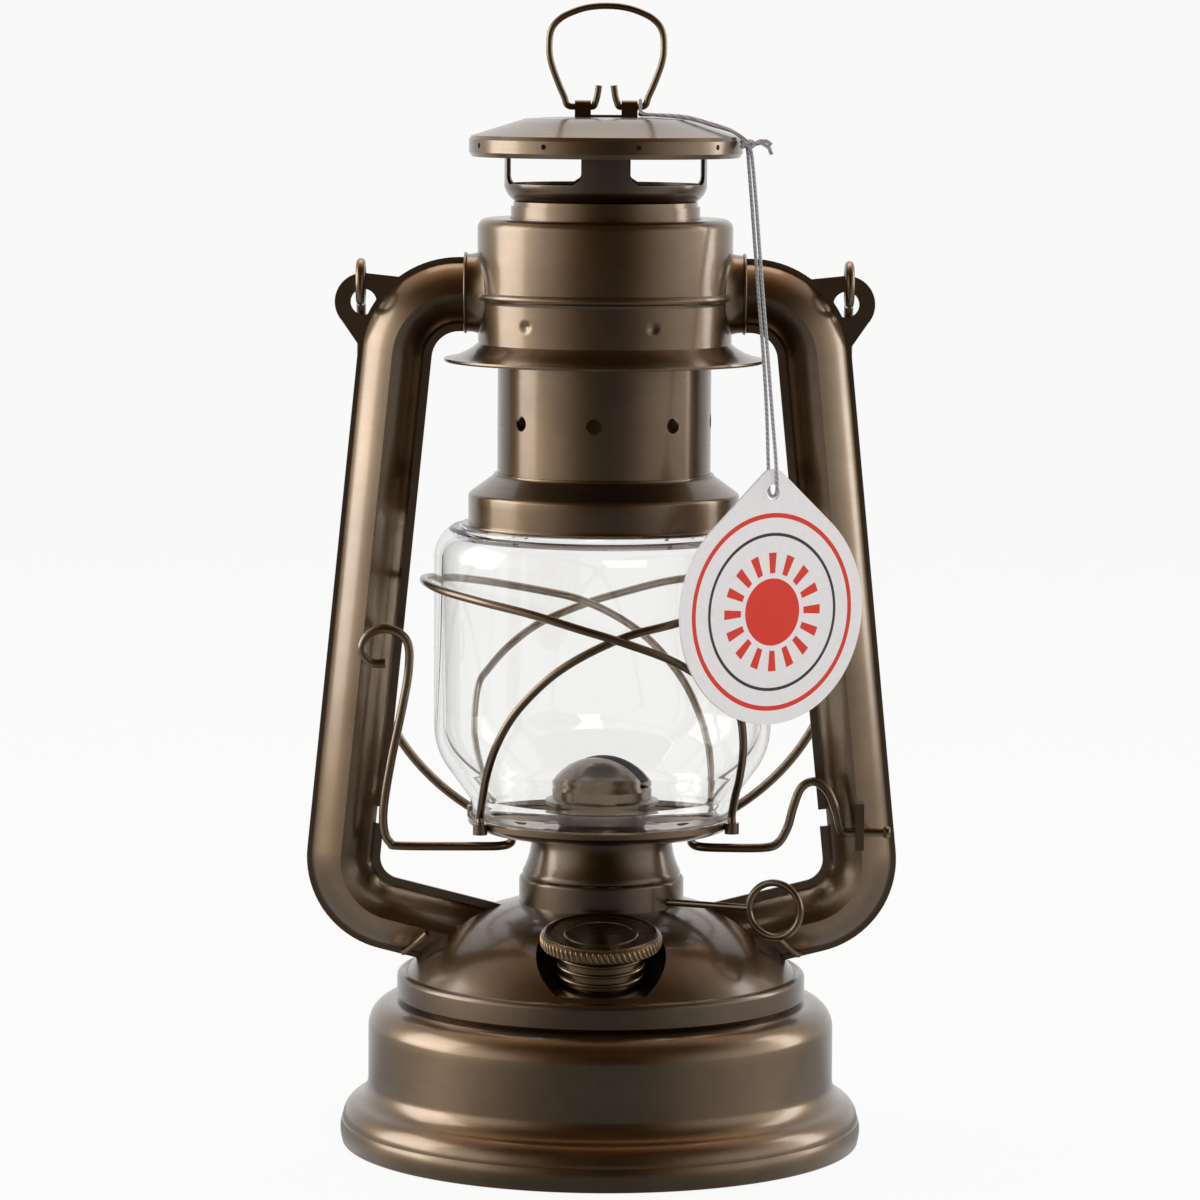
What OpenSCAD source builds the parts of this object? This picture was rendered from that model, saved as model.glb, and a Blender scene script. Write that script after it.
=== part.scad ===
// Hurricane lantern, standing on its tank, front towards -Y, in millimetres.
// The tank carries two air tubes and the hood; the globe, its plate and the chimney lift inside them.

/* [Tank] */
// Radius of the crimped band at the foot
band_r = 67.4; // [62:0.1:74]
// Height of the crimped band
band_h = 6.2; // [4:0.1:9]
// Thickness of the sheet steel
sheet = 0.8; // [0.5:0.05:1]
// Height of the flare between band and wall
flare_h = 10.6; // [8:0.1:14]
// Radius of the tank wall
wall_r = 60.2; // [57:0.1:62]
// Height of the straight tank wall
wall_h = 13.5; // [8:0.1:30]
// Radius of the tank's rounded shoulder
shoulder_r = 7; // [4:0.1:7]

/* [Air dome] */
// Radius of the rolled collar at the foot of the dome
collar_r = 52.8; // [51:0.1:54]
// Height of the rolled collar
collar_h = 7.5; // [5:0.1:10]
// Rise of the dome from collar to burner
dome_rise = 17.7; // [15:0.1:19]
// Bulge of the dome's slope
dome_bulge = 3.6; // [1:0.1:4]

/* [Filler] */
// Distance of the filler's foot in front of the axis
filler_y = 34; // [33:0.1:36]
// Forward tilt of the filler in degrees
filler_tilt = 10; // [6:0.5:12]
// Outer radius of the filler neck
neck_r = 9.2; // [7:0.1:10]
// Radius of the filler cap's rim
cap_r = 15.7; // [13:0.1:16]
// Height of the filler cap's rim
cap_rim_h = 3.8; // [2.5:0.1:5]
// Radius of the cap's threaded skirt
cap_skirt_r = 11.4; // [10.8:0.1:12.5]
// Height of the cap's threaded skirt
cap_skirt_h = 8.6; // [6:0.1:10]
// Pitch of the cap's thread
cap_pitch = 2.5; // [1.5:0.1:3]

/* [Burner] */
// Radius of the burner ring on the dome
burner_ring_r = 21.3; // [20.5:0.1:22]
// Height of the burner ring
burner_ring_h = 7.2; // [6:0.1:10]
// Radius of the burner collar at its top
burner_collar_r = 18.2; // [17:0.1:19.6]
// Height of the burner collar
burner_collar_h = 11.4; // [9:0.1:15]
// Radius of the burner body under the cone
burner_body_r = 11.4; // [10.5:0.1:12]
// Height of the burner body
burner_body_h = 9.4; // [8:0.1:12]
// Radius of the burner cone
cone_r = 12.9; // [12:0.1:13.2]
// Radius of the rim under the burner cone
cone_rim_r = 14.6; // [13.8:0.1:15]
// Height of the burner cone
cone_h = 9.8; // [8:0.1:12]
// Width of the flat wick
wick_w = 14; // [10:0.1:15]
// Thickness of the flat wick
wick_t = 2.4; // [1.5:0.1:3]
// Height of wick that stands out of its tube
wick_out = 1.5; // [0.5:0.1:2.5]

/* [Wick key] */
// Turn of the key's shaft towards the front in degrees
key_angle = 23; // [15:1:30]
// Radius of the key's wire
key_wire_r = 0.9; // [0.5:0.05:1]
// Distance of the key's loop from the axis
key_reach = 50; // [46:0.5:54]
// Radius of the key's loop at the middle of its wire
key_loop_r = 7; // [5:0.1:7.5]
// Radius of the cog wheels on the shaft
cog_r = 3.4; // [2.8:0.1:4]

/* [Air tubes] */
// Width of a tube without its flanges
tube_w = 15.8; // [14:0.1:17]
// Depth of one tube half, from flange to crest
tube_depth = 8.2; // [7:0.1:8.6]
// Slope of the tube's faces at the crest in degrees
crest_slope = 24; // [8:1:28]
// Width of the flange on the outer side
outer_flange = 1.2; // [1:0.1:2]
// Width of the flange on the inner side
inner_flange = 2; // [1:0.1:2.2]
// Lean of the tube's long leg in degrees
tube_lean = 5.7; // [4.5:0.1:6.5]
// Drop of the tube's lower leg in degrees
tube_drop = 14; // [10:0.5:16]
// Distance of the lower corner of the centreline from the axis
corner_x = 68.4; // [67:0.1:71]
// Radius of the upper bend
top_bend_r = 17; // [15:0.1:18]
// Radius of the lower bend
low_bend_r = 15.5; // [13:0.1:16.5]
// Radius of the socket that holds a tube at the hood
socket_r = 10.8; // [10.6:0.1:12]
// Reach of the socket out of the hood
socket_reach = 3.6; // [2:0.1:4]

/* [Bail ears and bail] */
// Distance of the ear hole from the axis
ear_x = 61.8; // [61:0.1:63]
// Radius of the ear
ear_r = 7.4; // [6:0.1:8]
// Radius of the hole in the ear
ear_hole_r = 3.3; // [3:0.1:4]
// Radius of the bail's wire
bail_wire_r = 1.2; // [0.9:0.05:1.4]
// Radius of the bail's eyes at the middle of the wire
bail_eye_r = 5; // [4.6:0.1:5.4]
// Half width of the bail
bail_half = 62.5; // [62:0.1:63.5]
// Length of the bail's straight arms
bail_arm = 95; // [92:0.5:120]
// Lean of the hanging bail in degrees
bail_lean = 15.8; // [14:0.2:18]

/* [Globe and guard] */
// Radius of the glass globe
globe_r = 43.5; // [42:0.1:44]
// Thickness of the glass
glass = 2.2; // [1.5:0.1:2.6]
// Radius of the globe's foot
globe_foot_r = 33.4; // [31:0.1:33.4]
// Height of the globe's foot
globe_foot_h = 2.8; // [2.4:0.1:6]
// Height of the globe
globe_h = 76; // [70:0.1:82]
// Radius of the globe's lip
lip_r = 39; // [37.6:0.1:40]
// Radius of the globe plate's rim
plate_r = 34.6; // [34.3:0.1:36]
// Height of the globe plate's rim
plate_rim_h = 3.9; // [3:0.1:5]
// Radius of the guard wires
guard_wire_r = 1.05; // [0.8:0.05:1.2]
// Angle of a guard wire's steep foot from the side in degrees
guard_foot = 23; // [20:1:26]
// Angle of a guard wire's other foot from the side in degrees
guard_far_foot = 31; // [28:1:34]

/* [Lift lever] */
// Radius of the lever's wire
lever_wire_r = 1.15; // [0.9:0.05:1.25]
// Height of the lever's axis above the tank's foot
lever_z = 82.5; // [81.5:0.1:84]
// Reach of the lever's crank behind the burner
crank_back = 24; // [23:0.1:26]
// Half width of the lever's crank
crank_half = 23.2; // [22.8:0.1:24]

/* [Chimney] */
// Radius of the globe seat
seat_r = 34.8; // [33:0.1:35]
// Height of the globe seat
seat_h = 14.6; // [12:0.1:18]
// Radius of the chimney
chimney_r = 27.4; // [26.4:0.1:29]
// Height of the wide part of the chimney
chimney_h = 30.5; // [26:0.5:30.5]
// Radius of the chimney's neck
neck_tube_r = 24.2; // [22:0.1:24.6]
// Rise of the neck above the hood
neck_rise = 4.2; // [3:0.1:6]
// Radius of the draught holes
draught_hole_r = 1.95; // [1:0.05:2.5]
// Number of draught holes
draught_holes = 8; // [6:1:12]
// Turn of the draught holes in degrees
draught_turn = -5.5; // [-20:0.5:20]

/* [Hood] */
// Radius of the hood
hood_r = 32.7; // [31.5:0.1:34]
// Height of the hood
hood_h = 32; // [30:0.1:36]
// Height of the hood's foot above the globe's lip
hood_above_lip = 47; // [46.5:0.1:49]
// Radius of the bead round the hood
bead_r = 0.9; // [0.5:0.05:1.2]
// Radius of the hood's skirt
skirt_r = 41.2; // [38:0.1:43]
// Fall of the hood's skirt
skirt_fall = 4.8; // [3:0.1:6]

/* [Crown and canopy] */
// Radius of the crown
crown_r = 25.9; // [25.2:0.1:27]
// Height of the crown's ring
crown_ring_h = 4.6; // [3:0.1:5]
// Width of a crown leg
leg_w = 12.4; // [8:0.1:15]
// Height of the windows under the canopy's rim
window_h = 6.8; // [5:0.1:9]
// Radius of the canopy
canopy_r = 35; // [33:0.1:38]
// Height of the canopy's rim
canopy_rim_h = 5.4; // [3:0.1:6]
// Rise of the canopy from its rim to its flat top
canopy_rise = 4.9; // [3:0.1:7]
// Radius of the canopy's flat top
canopy_flat_r = 20.6; // [18:0.1:24]

/* [Lifting ring] */
// Radius of the ring's wire
ring_wire_r = 0.85; // [0.7:0.05:0.95]
// Radius of the ring's loop
ring_r = 14.6; // [13:0.1:17]
// Height of the ring above its hinge
ring_h = 26.4; // [23:0.1:30]
// Half distance between the ring's legs at the hinge
ring_foot = 10.3; // [10.2:0.1:12]
// Length of the prongs at the ring's ends
prong_h = 5.4; // [3:0.1:7]

/* [Hang tag] */
// Radius of the tag's round part
tag_r = 28.5; // [24:0.1:29]
// Radius of the tag's rounded top
tag_top_r = 4.5; // [4:0.1:6]
// Distance between the centres of the round part and of the top
tag_drop = 31.6; // [28:0.1:34]
// Thickness of the tag
tag_t = 0.8; // [0.4:0.1:1]
// Diameter of the string
string_d = 0.9; // [0.6:0.1:1]

/* [Hidden] */
$fn = 96;
arc_steps = 8;
play = 0.3;
pin_play = 0.05;
wire_inset = 0.03;
ledge_h = 2.7;

// Heights, stacked from the floor up
flare_r = band_r - 0.6;
foot_w = 5;
recess = 2.4;
floor_r = band_r - foot_w - recess;
top_plate_r = collar_r - 7;
wall_z = band_h + flare_h;
shoulder_z = wall_z + wall_h;
tank_top = shoulder_z + shoulder_r;
dome_z = tank_top + collar_h;
dome_top = dome_z + dome_rise;
burner_collar_z = dome_top + burner_ring_h;
burner_top = burner_collar_z + burner_collar_h;
plate_z = burner_top + play;
globe_z = plate_z + ledge_h;
lip_z = globe_z + globe_h;
seat_z = lip_z - 0.8;
chimney_z = seat_z + seat_h - 2.4;
chimney_top = chimney_z + chimney_h;
hood_z = lip_z + hood_above_lip;
hood_top = hood_z + hood_h;
neck_top = hood_top + neck_rise;
crown_top = neck_top + crown_ring_h;
canopy_z = crown_top + window_h;
canopy_top = canopy_z + canopy_rim_h + canopy_rise;
ring_z = canopy_top + 2.5;

// Lift of the globe, and of the chimney over it
lift = 12;
chimney_lift = 16;

// Filler axis: its foot stands on the tank's top, and distances run along it
pocket_r = cap_r + 0.7;
pocket_s = 11;
cap_s = pocket_s + 0.6;
neck_s = cap_s + cap_skirt_h + 0.2;
seal_t = 1.2;

// Centreline of the right tube in the plane y = 0
tube_top_z = hood_z + 12.8;
corner_z = dome_top - 0.5;
leg_dir = [-sin(tube_lean), cos(tube_lean)];
foot_dir = [-cos(tube_drop), -sin(tube_drop)];
top_turn = 90 - tube_lean;
low_turn = 90 + tube_lean - tube_drop;
corner = [corner_x, corner_z];
low_tangent = low_bend_r * tan(low_turn / 2);
low_start = corner + low_tangent * leg_dir;
low_end = corner + low_tangent * foot_dir;
low_centre = low_start - low_bend_r * [cos(tube_lean), sin(tube_lean)];
leg_top_z = tube_top_z - top_bend_r * (1 - sin(tube_lean));
leg_top_x = corner_x - (leg_top_z - corner_z) * tan(tube_lean);
bend_x = leg_top_x - top_bend_r * cos(tube_lean);
leg_length = norm([leg_top_x, leg_top_z] - low_start);
foot_length = 32;
top_length = bend_x - hood_r - 0.4;
flange_t = 0.5;
half_w = tube_w / 2;
face_h = tube_depth - flange_t;
face_r = (half_w * half_w + face_h * face_h)
    / (2 * (face_h * cos(crest_slope) - half_w * sin(crest_slope)));
face_centre = [-face_r * sin(crest_slope), tube_depth - face_r * cos(crest_slope)];
face_start = atan2(flange_t - face_centre.y, half_w - face_centre.x);
notch_start = lever_z + 1 - low_start.y;
notch_length = 4.4;
socket_x = hood_r + socket_reach;
inlet_r = half_w - 1.6;

// Bail ears
ear_z = tube_top_z - 2.5;
ear_bite = 0.4;
bail_z = ear_z + bail_eye_r;

// Globe outline: foot, bowl, wall and shoulder
bowl_r = 19;
waist_r = 6;
bowl_lean = 36;
globe_shoulder_r = 9;
seat_flange_r = lip_r - 2.4;
seat_in_r = seat_r + 0.6;
plate_hole_r = cone_rim_r + 0.7;
socket_foot_r = plate_r + 1.6;
socket_h = 2.8;
guard_feet = [-guard_foot, guard_far_foot, 180 - guard_foot, 180 + guard_far_foot];
socket_floor = 0.5;
guard_gap = 2.75;
guard_cross = 1.2;

// Lever
lever_y = -tube_depth - 1.8;
lever_low = plate_z - 3.2;
bracket_x = corner_x - (lever_z - corner_z) * tan(tube_lean) - 0.2;
bracket_t = 2.2;
pin_end_x = bracket_x + 8;

// Wick key in the frame turned by the key's angle
key_z = dome_top + 1.9;
key_side = -(wick_t / 2 + play + cog_r);
key_loop_in = key_reach - key_loop_r;
tube_wall = 0.6;
wick_tube_top = burner_top + burner_body_h + 3.2;
wick_foot_z = 10;

// Hang tag: its plane is turned to the right and stands clear of the guard
tag_turn = 35;
tag_off = 50;
tag_along = 16.7;
tag_z = 141.5;
tag_hole_r = 2;
tag_hole_up = 30.2;

// Route of the string: round the ring's foot, over the canopy, down through the tag and back
string_route = [
    [8.7, 1.9, 267.6], [8.7, 1.1, 268.9], [8.7, -0.7, 269.1], [8.7, -1.9, 267.6], [8.8, -2.3, 266.4],
    [9.8, -3.0, 265.75], [12.5, -4.0, 265.5], [17, -5.4, 265.2], [21.5, -6.8, 264.6], [27, -8.6, 263.0],
    [32, -10.2, 261.5], [35.4, -11.2, 259.3], [36.6, -11.9, 257.0], [37.2, -12.8, 253], [38.1, -15.3, 243],
    [39.0, -18.5, 231], [40.0, -21.9, 218], [41.1, -25.3, 205], [42.1, -28.7, 192], [43.0, -31.6, 181],
    [43.4, -32.8, 174.4], [43.3, -32.6, 171.7], [42.4, -31.4, 170.6], [41.5, -30.2, 171.7],
    [41.4, -29.9, 174.4],
    [41.2, -29.3, 181], [40.8, -27.4, 192], [40.0, -24.4, 205], [38.9, -21.0, 218], [37.9, -17.6, 231],
    [37.0, -14.3, 243], [36.2, -11.6, 253], [35.8, -10.5, 257.2], [34.9, -9.7, 259.5], [31.6, -8.5, 261.8],
    [26.8, -7.0, 263.4], [21.3, -5.4, 264.9], [17, -4.0, 265.4], [12.5, -2.2, 265.5], [10.2, -1.2, 265.5],
    [8.7, 0.1, 265.55], [8.7, 1.3, 265.9]
];
knot = [35.8, -11, 258.4];
knot_r = 1.7;

// Colours of the finishes
bronze = "#6f5a3f";
bronze_dark = "#5a4832";
wire_bronze = "#5c4a35";
iron = "#4a4038";
glass_tint = "#dfe9ea";
card = "#e4e6ea";
thread_grey = "#a9a9ad";
cotton = "#d9d2c0";
rubber_black = "#2a2a2a";

// Points of an arc from angle a0 to a1
function arc(centre, r, a0, a1, steps = arc_steps) =
    [for (i = [0:steps]) centre + r * [cos(a0 + (a1 - a0) * i / steps), sin(a0 + (a1 - a0) * i / steps)]];

// Points of a slope that bulges by s between two points
function slope(p0, p1, s, steps = arc_steps) =
    let (d = p1 - p0, n = [-d.y, d.x] / norm(d))
    [for (i = [0:steps]) let (u = i / steps) p0 + u * d - 4 * s * u * (1 - u) * n];

function backwards(p) = [for (i = [len(p) - 1:-1:0]) p[i]];

function unit(v) = v / norm(v);

// Smooth curve through hand-chosen points
function curve(p, steps) =
    let (n = len(p))
    concat(
        [for (i = [0:n - 2]) for (s = [0:steps - 1])
            let (
                u = s / steps,
                a = i > 0 ? p[i - 1] : 2 * p[0] - p[1],
                b = p[i],
                c = p[i + 1],
                d = i < n - 2 ? p[i + 2] : 2 * p[n - 1] - p[n - 2]
            )
            0.5 * (2 * b + (c - a) * u + (2 * a - 5 * b + 4 * c - d) * u * u
                + (3 * b - a - 3 * c + d) * u * u * u)],
        [p[n - 1]]
    );

function tangents(q) =
    let (n = len(q))
    [for (i = [0:n - 1]) unit(q[min(i + 1, n - 1)] - q[max(i - 1, 0)])];

function across(v) = unit(cross(v, abs(v.z) < 0.9 ? [0, 0, 1] : [1, 0, 0]));

// Side vector of every ring, carried along the curve without twist
function sides_of(t) =
    [for (i = 0, s = across(t[0]); i < len(t);
        i = i + 1, s = i < len(t) ? unit(s - (s * t[i]) * t[i]) : s) s];

// Least distance between stretches of a curve that lie apart along it, less the wire
function least_gap(q, r, apart) =
    min([for (i = [0:len(q) - 1]) for (j = [i + apart:1:len(q) - 1]) norm(q[i] - q[j])]) - 2 * r;

// Round wire swept along points
module wire(q, r, sides = 8) {
    n = len(q);
    t = tangents(q);
    s = sides_of(t);
    points = [for (i = [0:n - 1]) for (k = [0:sides - 1])
        q[i] + r * (cos(360 * k / sides) * s[i] + sin(360 * k / sides) * cross(t[i], s[i]))];
    skin = [for (i = [0:n - 2]) for (k = [0:sides - 1])
        let (a = i * sides + k, b = i * sides + (k + 1) % sides)
        each [[a, a + sides, b + sides], [a, b + sides, b]]];
    last = (n - 1) * sides;
    ends = [for (k = [1:sides - 2]) each [[0, k, k + 1], [last, last + k + 1, last + k]]];
    polyhedron(points, concat(skin, ends));
}

// Body of revolution between an outer and an inner outline
module shell(outer, inner) {
    rotate_extrude() polygon(concat(outer, backwards(inner)));
}

module ring(r_out, r_in, z, h) {
    translate([0, 0, z]) difference() {
        cylinder(r = r_out, h = h);
        translate([0, 0, -1]) cylinder(r = r_in, h = h + 2);
    }
}

module rod(p0, p1, r) {
    d = p1 - p0;
    translate(p0) rotate([0, acos(d.z / norm(d)), atan2(d.y, d.x)]) cylinder(r = r, h = norm(d));
}

module at_filler(s) {
    translate([0, -filler_y, tank_top]) rotate([filler_tilt, 0, 0]) translate([0, 0, s]) children();
}

module at_key() {
    rotate([0, 0, -key_angle]) translate([0, key_side, key_z]) children();
}

// Tank outline at depth t under the outer face
function tank_outline(t) =
    let (
        dx = flare_r - wall_r,
        r = (dx * dx + flare_h * flare_h) / (4 * dx),
        a = asin(flare_h / 2 / r)
    )
    concat(
        arc([flare_r - r, band_h], r - t, 0, a),
        arc([wall_r + r, wall_z], r + t, 180 + a, 180),
        arc([wall_r - shoulder_r, shoulder_z], shoulder_r - t, 0, 90),
        [[top_plate_r, tank_top - t]]
    );

module tank_bottom() {
    color(bronze_dark) translate([0, 0, recess]) cylinder(r = floor_r, h = sheet);
}

module foot_band() {
    bulge = 0.5;
    color(bronze) rotate_extrude() polygon(concat(
        [[floor_r, recess], [band_r - foot_w, 0]],
        slope([band_r - bulge, 0], [flare_r, band_h], bulge),
        [[flare_r - 1.4, band_h], [flare_r - 1.4, recess + sheet], [floor_r, recess + sheet]]
    ));
}

module tank_shell() {
    color(bronze) shell(tank_outline(0), tank_outline(sheet));
}

// Flat plate under the dome that closes the tank and carries filler neck and wick tube
module tank_top_plate() {
    color(bronze_dark) difference() {
        translate([0, 0, tank_top - sheet]) cylinder(r = top_plate_r, h = sheet);
        at_filler(-10) cylinder(r = neck_r - sheet, h = 20);
        rotate([0, 0, -key_angle]) translate([-wick_w / 2 - play, -wick_t / 2 - play, tank_top - 2])
            cube([wick_w + 2 * play, wick_t + 2 * play, 4]);
    }
}

// Dome outline at depth t under the outer face
function dome_outline(t) =
    let (roll = 1.6, dip = 2.4)
    concat(
        [[collar_r - 1.2 - t, tank_top], [collar_r - t, tank_top + 1.2]],
        arc([collar_r - roll, dome_z - roll], roll - t, 0, 90),
        slope([collar_r - dip, dome_z - 0.5 - t], [burner_ring_r + 0.3, dome_top - t], dome_bulge),
        [[0, dome_top - t]]
    );

module dome_solid() {
    rotate_extrude() polygon(concat([[0, tank_top]], dome_outline(0)));
}

module dome_inside() {
    foot_r = collar_r - 1.2 - sheet;
    rotate_extrude() polygon(concat([[0, tank_top - 1], [foot_r, tank_top - 1]], dome_outline(sheet)));
}

module air_dome() {
    color(bronze) difference() {
        dome_solid();
        difference() {
            dome_inside();
            at_filler(pocket_s - sheet) cylinder(r = pocket_r + sheet, h = 40);
        }
        at_filler(pocket_s) cylinder(r = pocket_r, h = 40);
        at_filler(-5) cylinder(r = neck_r, h = 40);
        translate([0, 0, dome_top - 10]) cylinder(r = burner_ring_r - 2 * sheet, h = 20);
        for (side = [0, 1]) mirror([side, 0, 0]) tube_inlet();
    }
}

module filler_neck() {
    color(bronze_dark) difference() {
        at_filler(-5) cylinder(r = neck_r, h = neck_s + 5);
        at_filler(-6) cylinder(r = neck_r - 1.4, h = neck_s + 12);
        translate([-50, -100, tank_top - 50]) cube([100, 100, 50]);
    }
}

module burner_ring() {
    roll = 1.2;
    color(bronze) difference() {
        rotate_extrude() polygon(concat(
            [[burner_ring_r - sheet, dome_top], [burner_ring_r, dome_top]],
            arc([burner_ring_r - roll, burner_collar_z - roll], roll, 0, 90),
            [
                [burner_collar_r - sheet, burner_collar_z],
                [burner_collar_r - sheet, burner_collar_z - sheet],
                [burner_ring_r - roll, burner_collar_z - sheet],
                [burner_ring_r - sheet, burner_collar_z - roll]
            ]
        ));
        at_key() rotate([0, 90, 0]) cylinder(r = key_wire_r + pin_play, h = 40, $fn = 48);
    }
}

// Outline of the collar at depth t: a foot on the ring, then a hollow flare up to the top
function waist_outline(t) =
    let (foot_r = burner_ring_r - 0.9)
    concat(
        [[foot_r - t, burner_collar_z]],
        slope([foot_r - t, burner_collar_z + 1.2], [burner_collar_r - t, burner_top - 2], -0.5),
        [[burner_collar_r - t, burner_top]]
    );

module burner_collar() {
    color(bronze) union() {
        shell(waist_outline(0), waist_outline(sheet));
        ring(burner_collar_r - sheet / 2, burner_body_r - sheet, burner_top - sheet, sheet);
    }
}

module burner_body() {
    step_h = 2.6;
    z1 = burner_top + burner_body_h;
    color(bronze_dark) rotate_extrude() polygon([
        [burner_body_r - sheet, burner_top],
        [burner_body_r, burner_top],
        [burner_body_r, z1 - step_h],
        [cone_rim_r - 0.4, z1 - step_h + 0.7],
        [cone_rim_r, z1 - step_h + 1.1],
        [cone_rim_r, z1 - 0.6],
        [cone_r + 0.1, z1],
        [burner_body_r - sheet, z1]
    ]);
}

// Cone outline at depth t: a short wall and a round top
function cone_outline(t) =
    let (
        z0 = burner_top + burner_body_h,
        wall = 2.2,
        rise = cone_h - wall,
        r = (cone_r * cone_r + rise * rise) / (2 * rise),
        a = asin((r - rise) / r)
    )
    concat(
        [[cone_r - t, z0]],
        arc([0, z0 + cone_h - r], r - t, a + t, 90)
    );

module burner_cone() {
    slot_side = 1.5;
    color(bronze_dark) difference() {
        shell(cone_outline(0), cone_outline(sheet));
        rotate([0, 0, -key_angle])
            translate([-wick_w / 2 - slot_side, -wick_t / 2 - slot_side, burner_top + burner_body_h + 3])
            cube([wick_w + 2 * slot_side + 4, wick_t + 2 * slot_side, cone_h]);
    }
}

module wick_tube() {
    inner = [wick_w + 2 * play, wick_t + 2 * play];
    outer = inner + [2 * tube_wall, 2 * tube_wall];
    base_r = 12;
    window = 2 * cog_r + 1;
    color(iron) rotate([0, 0, -key_angle]) difference() {
        union() {
            translate([-outer.x / 2, -outer.y / 2, tank_top])
                cube([outer.x, outer.y, wick_tube_top - tank_top]);
            translate([0, 0, tank_top]) cylinder(r = base_r, h = 1);
        }
        translate([-inner.x / 2, -inner.y / 2, tank_top - 1]) cube([inner.x, inner.y, wick_tube_top]);
        translate([-inner.x / 2, key_side - cog_r, key_z - window / 2])
            cube([inner.x, cog_r + play, window]);
        translate([-inner.x / 2, key_side, key_z - window / 2]) cube([inner.x, cog_r, window]);
    }
}

// Section of the front half of a tube: x across, outer side positive, y towards the crest
function face(t) = arc(face_centre, face_r - t, face_start, acos(-face_centre.x / (face_r - t)));

function half_section(t) =
    let (right = face(t))
    concat(right, [for (i = [arc_steps - 1:-1:0]) [-right[i].x, right[i].y]]);

module tube_section() {
    difference() {
        polygon(concat(
            [[half_w + outer_flange, 0], [half_w + outer_flange, flange_t]],
            half_section(0),
            [[-half_w - inner_flange, flange_t], [-half_w - inner_flange, 0]]
        ));
        tube_bore_section();
    }
}

module tube_bore_section() {
    polygon(concat([[half_w - sheet, -1]], half_section(sheet), [[sheet - half_w, -1]]));
}

module tube_full_section() {
    polygon(concat([[half_w, 0]], half_section(0), [[-half_w, 0]]));
}

// Frame of the lower bend: x away from its centre, y up along the tube's leg, z to the front
module at_low_bend() {
    translate([low_centre.x, 0, low_centre.y]) rotate([90, 0, 0]) rotate([0, 0, tube_lean]) children();
}

// Straight run along y that starts at distance r from the frame's origin
module straight(r, length) {
    translate([r, 0, 0]) rotate([-90, 0, 0]) linear_extrude(length) mirror([0, 1]) children();
}

module bend(r, turn) {
    rotate_extrude(angle = turn) translate([r, 0]) children();
}

// Right tube swept from the hood to the tank with a given section, front half towards -Y
module tube_run(notch) {
    at_low_bend() {
        difference() {
            straight(low_bend_r, leg_length) children();
            if (notch)
                translate([low_bend_r - half_w - inner_flange - 1, notch_start, -1])
                    cube([inner_flange + 1, notch_length, flange_t + 2]);
        }
        translate([low_bend_r - top_bend_r, leg_length, 0]) {
            bend(top_bend_r, top_turn) children();
            rotate([0, 0, top_turn]) straight(top_bend_r, top_length) children();
        }
        mirror([0, 1, 0]) {
            bend(low_bend_r, low_turn) children();
            rotate([0, 0, low_turn]) straight(low_bend_r, foot_length) children();
        }
    }
}

// Round inlet through the dome under the foot of the right tube
module tube_inlet() {
    translate([low_end.x, 0, low_end.y]) rotate([0, -90 - tube_drop, 0])
        cylinder(r = inlet_r, h = foot_length + 4);
}

// Ear for the bail, a widened stretch of the flange
module ear() {
    rotate([90, 0, 0]) linear_extrude(flange_t) difference() {
        union() {
            translate([ear_x, ear_z]) circle(r = ear_r);
            polygon([
                [ear_x, ear_z + ear_r],
                [bend_x + 15, ear_z + ear_r - 1],
                [bend_x + 20, ear_z - 6],
                [leg_top_x + half_w - ear_bite, leg_top_z + 1],
                [leg_top_x + half_w + outer_flange, leg_top_z + 2],
                [ear_x + 0.75 * ear_r, ear_z - 0.66 * ear_r]
            ]);
        }
        translate([ear_x, ear_z]) circle(r = ear_hole_r);
        translate([bend_x, tube_top_z - top_bend_r]) circle(r = top_bend_r + half_w - ear_bite);
        polygon([
            [0, leg_top_z],
            [leg_top_x + half_w / cos(tube_lean) - ear_bite, leg_top_z],
            [leg_top_x + half_w / cos(tube_lean) - ear_bite + 20 * tan(tube_lean), leg_top_z - 20],
            [0, leg_top_z - 20]
        ]);
    }
}

module tube_half() {
    color(bronze) difference() {
        union() {
            tube_run(true) tube_section();
            ear();
        }
        dome_solid();
    }
}

module left_tube_front() {
    mirror([1, 0, 0]) tube_half();
}

module left_tube_back() {
    mirror([1, 0, 0]) mirror([0, 1, 0]) tube_half();
}

module right_tube_front() {
    tube_half();
}

module right_tube_back() {
    mirror([0, 1, 0]) tube_half();
}

module right_socket() {
    bore = half_w + inner_flange + 0.1;
    color(bronze) difference() {
        translate([hood_r - 8, 0, tube_top_z]) rotate([0, 90, 0])
            cylinder(r = socket_r, h = socket_x - hood_r + 8);
        translate([hood_r - 9, 0, tube_top_z]) rotate([0, 90, 0]) cylinder(r = bore, h = 40);
        translate([0, 0, hood_z - 5]) cylinder(r = hood_r, h = hood_h + 10);
        ring(hood_r + bead_r + 0.1, hood_r - 1, tube_top_z - bead_r - 0.8, 2 * bead_r + 0.2);
    }
}

module left_socket() {
    mirror([1, 0, 0]) right_socket();
}

// Hood outline at depth t: lower band, bead, upper band and rounded top
function hood_outline(t) =
    let (round_r = 2.6, bead_z = tube_top_z - 0.7)
    concat(
        [[hood_r - 0.2 - t, hood_z], [hood_r - 0.2 - t, bead_z - bead_r]],
        t > 0 ? [] : arc([hood_r - 0.1, bead_z], bead_r, -90, 90),
        [[hood_r - t, bead_z + bead_r]],
        arc([hood_r - round_r, hood_top - round_r], round_r - t, 0, 90),
        [[neck_tube_r + play, hood_top - t]]
    );

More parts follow.
